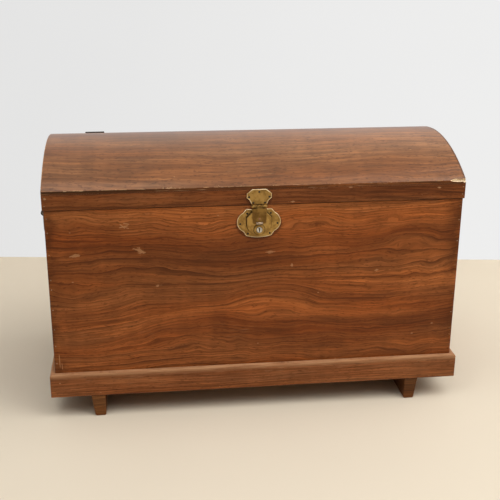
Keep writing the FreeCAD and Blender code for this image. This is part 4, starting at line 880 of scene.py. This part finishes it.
def plate_border(node, foot):
    """The outer border of a plate's largest flat face as bare edges, down to the height of its foot."""
    shape = welded(node)
    levels = {}
    for face in shape.faces:
        if face.normal.y < -0.99:
            levels.setdefault(round(face.calc_center_median().y, 4), set()).add(face)
    flat = max(levels.values(), key=lambda faces: sum(face.calc_area() for face in faces))
    border = [edge for edge in shape.edges if len(flat.intersection(edge.link_faces)) == 1]
    outer = set(max(joined_groups(border), key=lambda group: max(vert.co.x for vert in group)))
    line = bmesh.new()
    copies = {vert: line.verts.new(vert.co) for vert in shape.verts if vert in outer and vert.co.z > foot}
    for edge in border:
        if copies.keys() >= set(edge.verts):
            line.edges.new([copies[vert] for vert in edge.verts])
    shape.free()
    bmesh.ops.remove_doubles(line, verts=line.verts, dist=1.5 * ROLLED_EDGE)
    return mesh_of(line, node + "_bead")


def rolled_bead(given):
    """Sweeps a round bead along a border."""
    line = lay("GeometryNodeMeshToCurve", {"Mesh": given["Border"]})[0]
    ring = lay("GeometryNodeCurvePrimitiveCircle", {"Resolution": 8, "Radius": given["Radius"]})[0]
    swept = lay("GeometryNodeCurveToMesh", {"Curve": line, "Profile Curve": ring, "Fill Caps": True})[0]
    return lay("GeometryNodeMergeByDistance", {"Geometry": swept, "Distance": 1e-5})[0]


ROLLED_BEAD = new_jig("rolled_bead", (("Border", "Geometry"), ("Radius", "Float")), rolled_bead)


def rolled_edge(node, foot, finish, slot):
    """A thin bead where the border of a plate is rolled over, bright from wiping."""
    piece = add_piece(node + "_bead", plate_border(node, foot))
    run_jig(piece, ROLLED_BEAD, {"Radius": ROLLED_EDGE, "Finish": finish})
    piece.data.shade_smooth()
    enter(piece, frame["nodes"][node]["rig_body"], slot)


def length_of(spot):
    return lay("ShaderNodeVectorMath", {0: spot}, operation="LENGTH")["Value"]


def lock_crevice_dirt_and_shade(place):
    """Old polish left round the foot of the shield and of the collar, darkened further as painted shade in the
    creases.
    """
    up, aside = place["Z"] - LOCK_AXIS, abs(place["X"])
    below = reckon("MINIMUM", up - SHIELD_TURN, 0.0)
    bowl = length_of(spot_at(aside, below, 0.0)) - SHIELD_HALF
    slope = (aside - SHIELD_HALF) * 0.714 + (up - SHIELD_SHOULDER) * 0.7
    shield = most(bowl, slope, up - SHIELD_TOP)
    collar = length_of(spot_at(aside, up, 0.0)) - COLLAR_RADIUS
    smudge = cloud(place["X"] * 160.0, place["Z"] * 160.0, 3.3, 2.0)
    # A dark ring in the crease: polish residue and painted shade.
    crevice_dark = [fade(gap, CREVICE_DARK_WIDTH, 0.0003) * fade(gap, -0.0006, 0.0) for gap in (shield, collar)]
    return most(*crevice_dark) * fade(smudge, 0.3, 0.6, 0.55, 0.95)


aged_brass = metal("aged_brass", (0.43, 0.262, 0.081), (0.275, 0.158, 0.045), (0.11, 0.06, 0.021), 75.0, 0.3,
                   pit_share=0.5)
dark_brass = metal("dark_brass", (0.28, 0.158, 0.044), (0.172, 0.09, 0.025), (0.07, 0.037, 0.015), 75.0, 0.34,
                   pit_share=0.5)
lock_brass = metal("lock_brass", (0.46, 0.28, 0.084), (0.3, 0.17, 0.048), (0.07, 0.038, 0.014), 75.0, 0.3,
                   pit_share=0.4, dirt_and_shade=lock_crevice_dirt_and_shade)
rubbed_brass = metal("rubbed_brass", (0.93, 0.75, 0.47), (0.72, 0.54, 0.28), (0.24, 0.15, 0.06), 110.0, 0.24,
                     pit_share=0.3)
lock_steel = metal("lock_steel", (0.6, 0.58, 0.55), (0.38, 0.36, 0.33), (0.12, 0.1, 0.085), 260.0, 0.18)
plug_steel = metal("plug_steel", (0.7, 0.67, 0.62), (0.26, 0.235, 0.2), (0.07, 0.06, 0.05), 330.0, 0.14)
pin_iron = metal("pin_iron", (0.04, 0.027, 0.018), (0.018, 0.012, 0.009), (0.03, 0.015, 0.008), 190.0, 0.45,
                 metallic=0.5)
pin_mesh = turned("pin_head_shape", PIN_HEAD, 14)
pressed_plate("lock_plate", (lock_brass,), "aged_brass")
rolled_edge("lock_plate", LOCK_FOOT, rubbed_brass, "aged_brass")
plug = eased_copy("lock_plug", PLUG_EASE, (plug_steel, pin_iron), "lock_steel", crowded=True)
plug_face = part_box("lock_plug")[0].y
# Painted shade: the walls inside the keyway take the dark pin iron.
paint_faces(plug, 1, lambda middle, normal: plug_face + PLUG_EASE < middle.y < plug_face + KEYWAY)
for node, ease, finish, slot in (("lock_cylinder", 0.0006, aged_brass, "aged_brass"),
                                 ("lock_back_plate", 0.0004, lock_steel, "lock_steel"),
                                 ("lock_cam", 0.0003, lock_steel, "lock_steel"),
                                 ("lock_bolt", 0.0003, lock_steel, "lock_steel")):
    eased_copy(node, ease, (finish,), slot, crowded=True)


def drive_pins(name, node, seed):
    spots = head_spots(node, lambda middle: Vector((0, -1, 0)), PIN_RISE)
    drive(name, frame["nodes"][node]["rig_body"], spots, pin_mesh, pin_iron, "dark_iron", (node,), PIN_SIZE, seed)


drive_pins("lock_pin_heads", "lock_plate_pins", 31)

# ---
# Hasp. A brass plate pinned to the lid's front rail with a flap hinged on it, turned out at its foot for the
# thumb. A steel staple is riveted through the flap, and the bolt passes through its eye.
HASP_FOOT, FLAP_FACE, RIVET_LEVEL, THUMB_RISE = 0.418, -0.2001, 0.3905, 0.006
RIVET = ((0.0, 0.00035), (0.0012, 0.0003), (0.0021, 0.0001), (0.0023, -0.0004), (0.0, -0.0004))
thumb_worn_and_highlit_brass = metal("thumb_worn_and_highlit_brass", (0.45, 0.345, 0.24), (0.33, 0.245, 0.16), (0.2, 0.13, 0.08), 160.0, 0.32)
rivet_copper = metal("rivet_copper", (0.36, 0.19, 0.1), (0.24, 0.12, 0.06), (0.1, 0.05, 0.03), 160.0, 0.36)
pressed_plate("hasp_plate", (aged_brass,), "aged_brass")
rolled_edge("hasp_plate", HASP_FOOT, rubbed_brass, "aged_brass")
flap = pressed_plate("hasp_flap", (dark_brass, thumb_worn_and_highlit_brass), "aged_brass")
flap_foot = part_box("hasp_flap")[0].z
# The thumb lip's upward faces get a paler brass: thumb rubbing and a painted highlight where they face the light.
paint_faces(flap, 1, lambda middle, normal: middle.z < flap_foot + THUMB_RISE and normal.z > 0.25)
for node, ease, finish, slot in (("hasp_pin", 0.0002, aged_brass, "aged_brass"),
                                 ("hasp_staple", 0.0003, lock_steel, "lock_steel")):
    eased_copy(node, ease, (finish,), slot, crowded=True)
drive_pins("hasp_pin_heads", "hasp_plate_pins", 33)
drive("staple_rivet", "hasp", [(Vector((0, FLAP_FACE, RIVET_LEVEL)), Vector((0, -1, 0)))],
      turned("rivet_shape", RIVET, 16), rivet_copper, "aged_brass", seed=35)

# ---
# Drop handles. One on each end: a forged iron plate held by four screws, with two ears that carry a bail of
# round bar, thicker in the middle where it is gripped, the whole bail of a brighter, rubbed iron.
HANDLE_PLATE_EASE, BAIL_EASE = 0.0006, 0.0005
grip_iron = metal("grip_iron", (0.175, 0.15, 0.128), (0.07, 0.058, 0.05), (0.11, 0.052, 0.025), 80.0, 0.34,
                  metallic=0.9, pit_share=0.45, hammered=150.0)
for side in ("left", "right"):
    eased_copy(f"{side}_handle_plate", HANDLE_PLATE_EASE, (dark_iron,), "dark_iron")
    eased_copy(f"{side}_bail", BAIL_EASE, (grip_iron,), "dark_iron")
drive_screws("handle_screw_heads", "handle_screws", lambda middle: Vector((1 if middle.x > 0 else -1, 0, 0)), 41)

# ---
# Studio. A plain cream floor and a plain pale wall square to the camera, painted on one side only so that
# neither hides the trunk from behind or below, soft lamps, and the camera where the photograph was taken from.
YAW, PITCH, ROLL = math.radians(7.19), math.radians(19.58), math.radians(0.33)
CAMERA_PLACE, CAMERA_LENS = (-0.2134, -1.754, 0.8876), 64.35
WALL_FOOT, WALL_HEIGHT, STAGE_HALF = Vector((0.09, 0.651, 0)), 1.2, 14.0
WALL_RUN = Vector((math.cos(YAW), -math.sin(YAW), 0)) * STAGE_HALF
FLOOR_DEPTH = Vector((-math.sin(YAW), -math.cos(YAW), 0)) * STAGE_HALF
FLOOR_PAINT, FLOOR_PALE, FLOOR_TONES = (0.685, 0.605, 0.482), (0.92, 0.81, 0.64), (0.82, 0.88)
WALL_PAINT, WALL_PALE, WALL_TONES = (0.84, 0.84, 0.84), (1.0, 0.998, 0.993), (0.765, 0.845)
LAMPS_REACH, LAMP_COLOUR, PALE_AIR = (1.3, 3.4), (1.0, 0.985, 0.965), 0.8


def stage_sheet(name, corners, colour, pale, tones, lit_as_far_as=None):
    """A painted sheet. To the eye and in reflections it glows pale instead of being lit, all over or past the
    distance
    that the lamps reach: painted light whose tones brighten from left to right."""
    mesh = bpy.data.meshes.new(name)
    mesh.from_pydata(corners, [], [(0, 1, 2, 3)])
    finish, spot = new_finish(name + "_paint")
    mottle = noise_at(spot, 3.0, 4.0)
    paint = tint(mottle, colour, tuple(part * 0.96 for part in colour))
    lit = lay("ShaderNodeBsdfPrincipled", {"Base Color": paint, "Roughness": 0.75, "Specular IOR Level": 0.2})[0]
    tone = fade(parts_of(spot)["X"], -0.8, 0.8, *tones) + mottle * 0.02
    # Painted light: a glow brightening from left to right, seen by the eye and in reflections.
    seen = lay("ShaderNodeEmission", {"Color": (*pale, 1), "Strength": tone})[0]
    ray = lay("ShaderNodeLightPath", {}, finish.node_tree)
    looked_at = most(ray["Is Camera Ray"], ray["Is Glossy Ray"], ray["Is Transmission Ray"])
    if lit_as_far_as:
        looked_at = looked_at * fade(length_of(spot), *lit_as_far_as)
    painted = lay("ShaderNodeMixShader", {0: looked_at, 1: lit, 2: seen})[0]
    back = lay("ShaderNodeNewGeometry", {}, finish.node_tree)["Backfacing"]
    clear = lay("ShaderNodeBsdfTransparent", {}, finish.node_tree)[0]
    lay("ShaderNodeOutputMaterial", {0: lay("ShaderNodeMixShader", {0: back, 1: painted, 2: clear})[0]})
    mesh.materials.append(finish)
    add_piece(name, mesh)


wall_left, wall_right = WALL_FOOT - WALL_RUN, WALL_FOOT + WALL_RUN
wall_rise = Vector((0, 0, WALL_HEIGHT))
stage_sheet("floor", [wall_left + FLOOR_DEPTH, wall_right + FLOOR_DEPTH, wall_right - FLOOR_DEPTH,
                      wall_left - FLOOR_DEPTH], FLOOR_PAINT, FLOOR_PALE, FLOOR_TONES, LAMPS_REACH)
stage_sheet("wall", [wall_left, wall_right, wall_right + wall_rise, wall_left + wall_rise],
            WALL_PAINT, WALL_PALE, WALL_TONES)

world = bpy.data.worlds.new("studio_air")
world.use_nodes = True
air = world.node_tree
heading = parts_of(lay("ShaderNodeTexCoord", {}, air)["Generated"])
light = fade(heading["Z"], 0.0, 0.9, 0.05, 0.62) * fade(heading["Y"], -1.0, 0.4, 0.6, 1.0)
ray = lay("ShaderNodeLightPath", {}, air)
mirrored = most(ray["Is Glossy Ray"], ray["Is Transmission Ray"]) * fade(heading["Z"], 0.2, 0.05)
strength = lay("ShaderNodeMix", {0: most(ray["Is Camera Ray"], mirrored), 2: light, 3: PALE_AIR})[0]
glow = air.nodes["Background"].inputs
air.links.new(strength.socket, glow["Strength"])
glow["Color"].default_value = (1.0, 1.0, 1.0, 1)
bpy.context.scene.world = world


def soft_lamp(name, place, target, size, power):
    lamp = bpy.data.lights.new(name, "AREA")
    lamp.shape, lamp.size, lamp.energy, lamp.color = "SQUARE", size, power, LAMP_COLOUR
    holder = add_piece(name, lamp)
    holder.location = place
    holder.rotation_euler = (Vector(target) - Vector(place)).to_track_quat("-Z", "Y").to_euler()


soft_lamp("window_light", (1.7, -0.8, 2.5), (0, 0, 0.25), 2.6, 69.0)
soft_lamp("ceiling_fill", (-0.6, -1.0, 2.8), (0, 0, 0.2), 2.6, 40.0)

camera = add_piece("camera", bpy.data.cameras.new("camera"))
camera.data.lens = CAMERA_LENS
camera.matrix_world = (Matrix.Translation(CAMERA_PLACE) @ Matrix.Rotation(-YAW, 4, "Z")
                       @ Matrix.Rotation(math.pi / 2 - PITCH, 4, "X") @ Matrix.Rotation(ROLL, 4, "Z"))
bpy.context.scene.camera = camera
bpy.context.scene.view_settings.view_transform = "Standard"
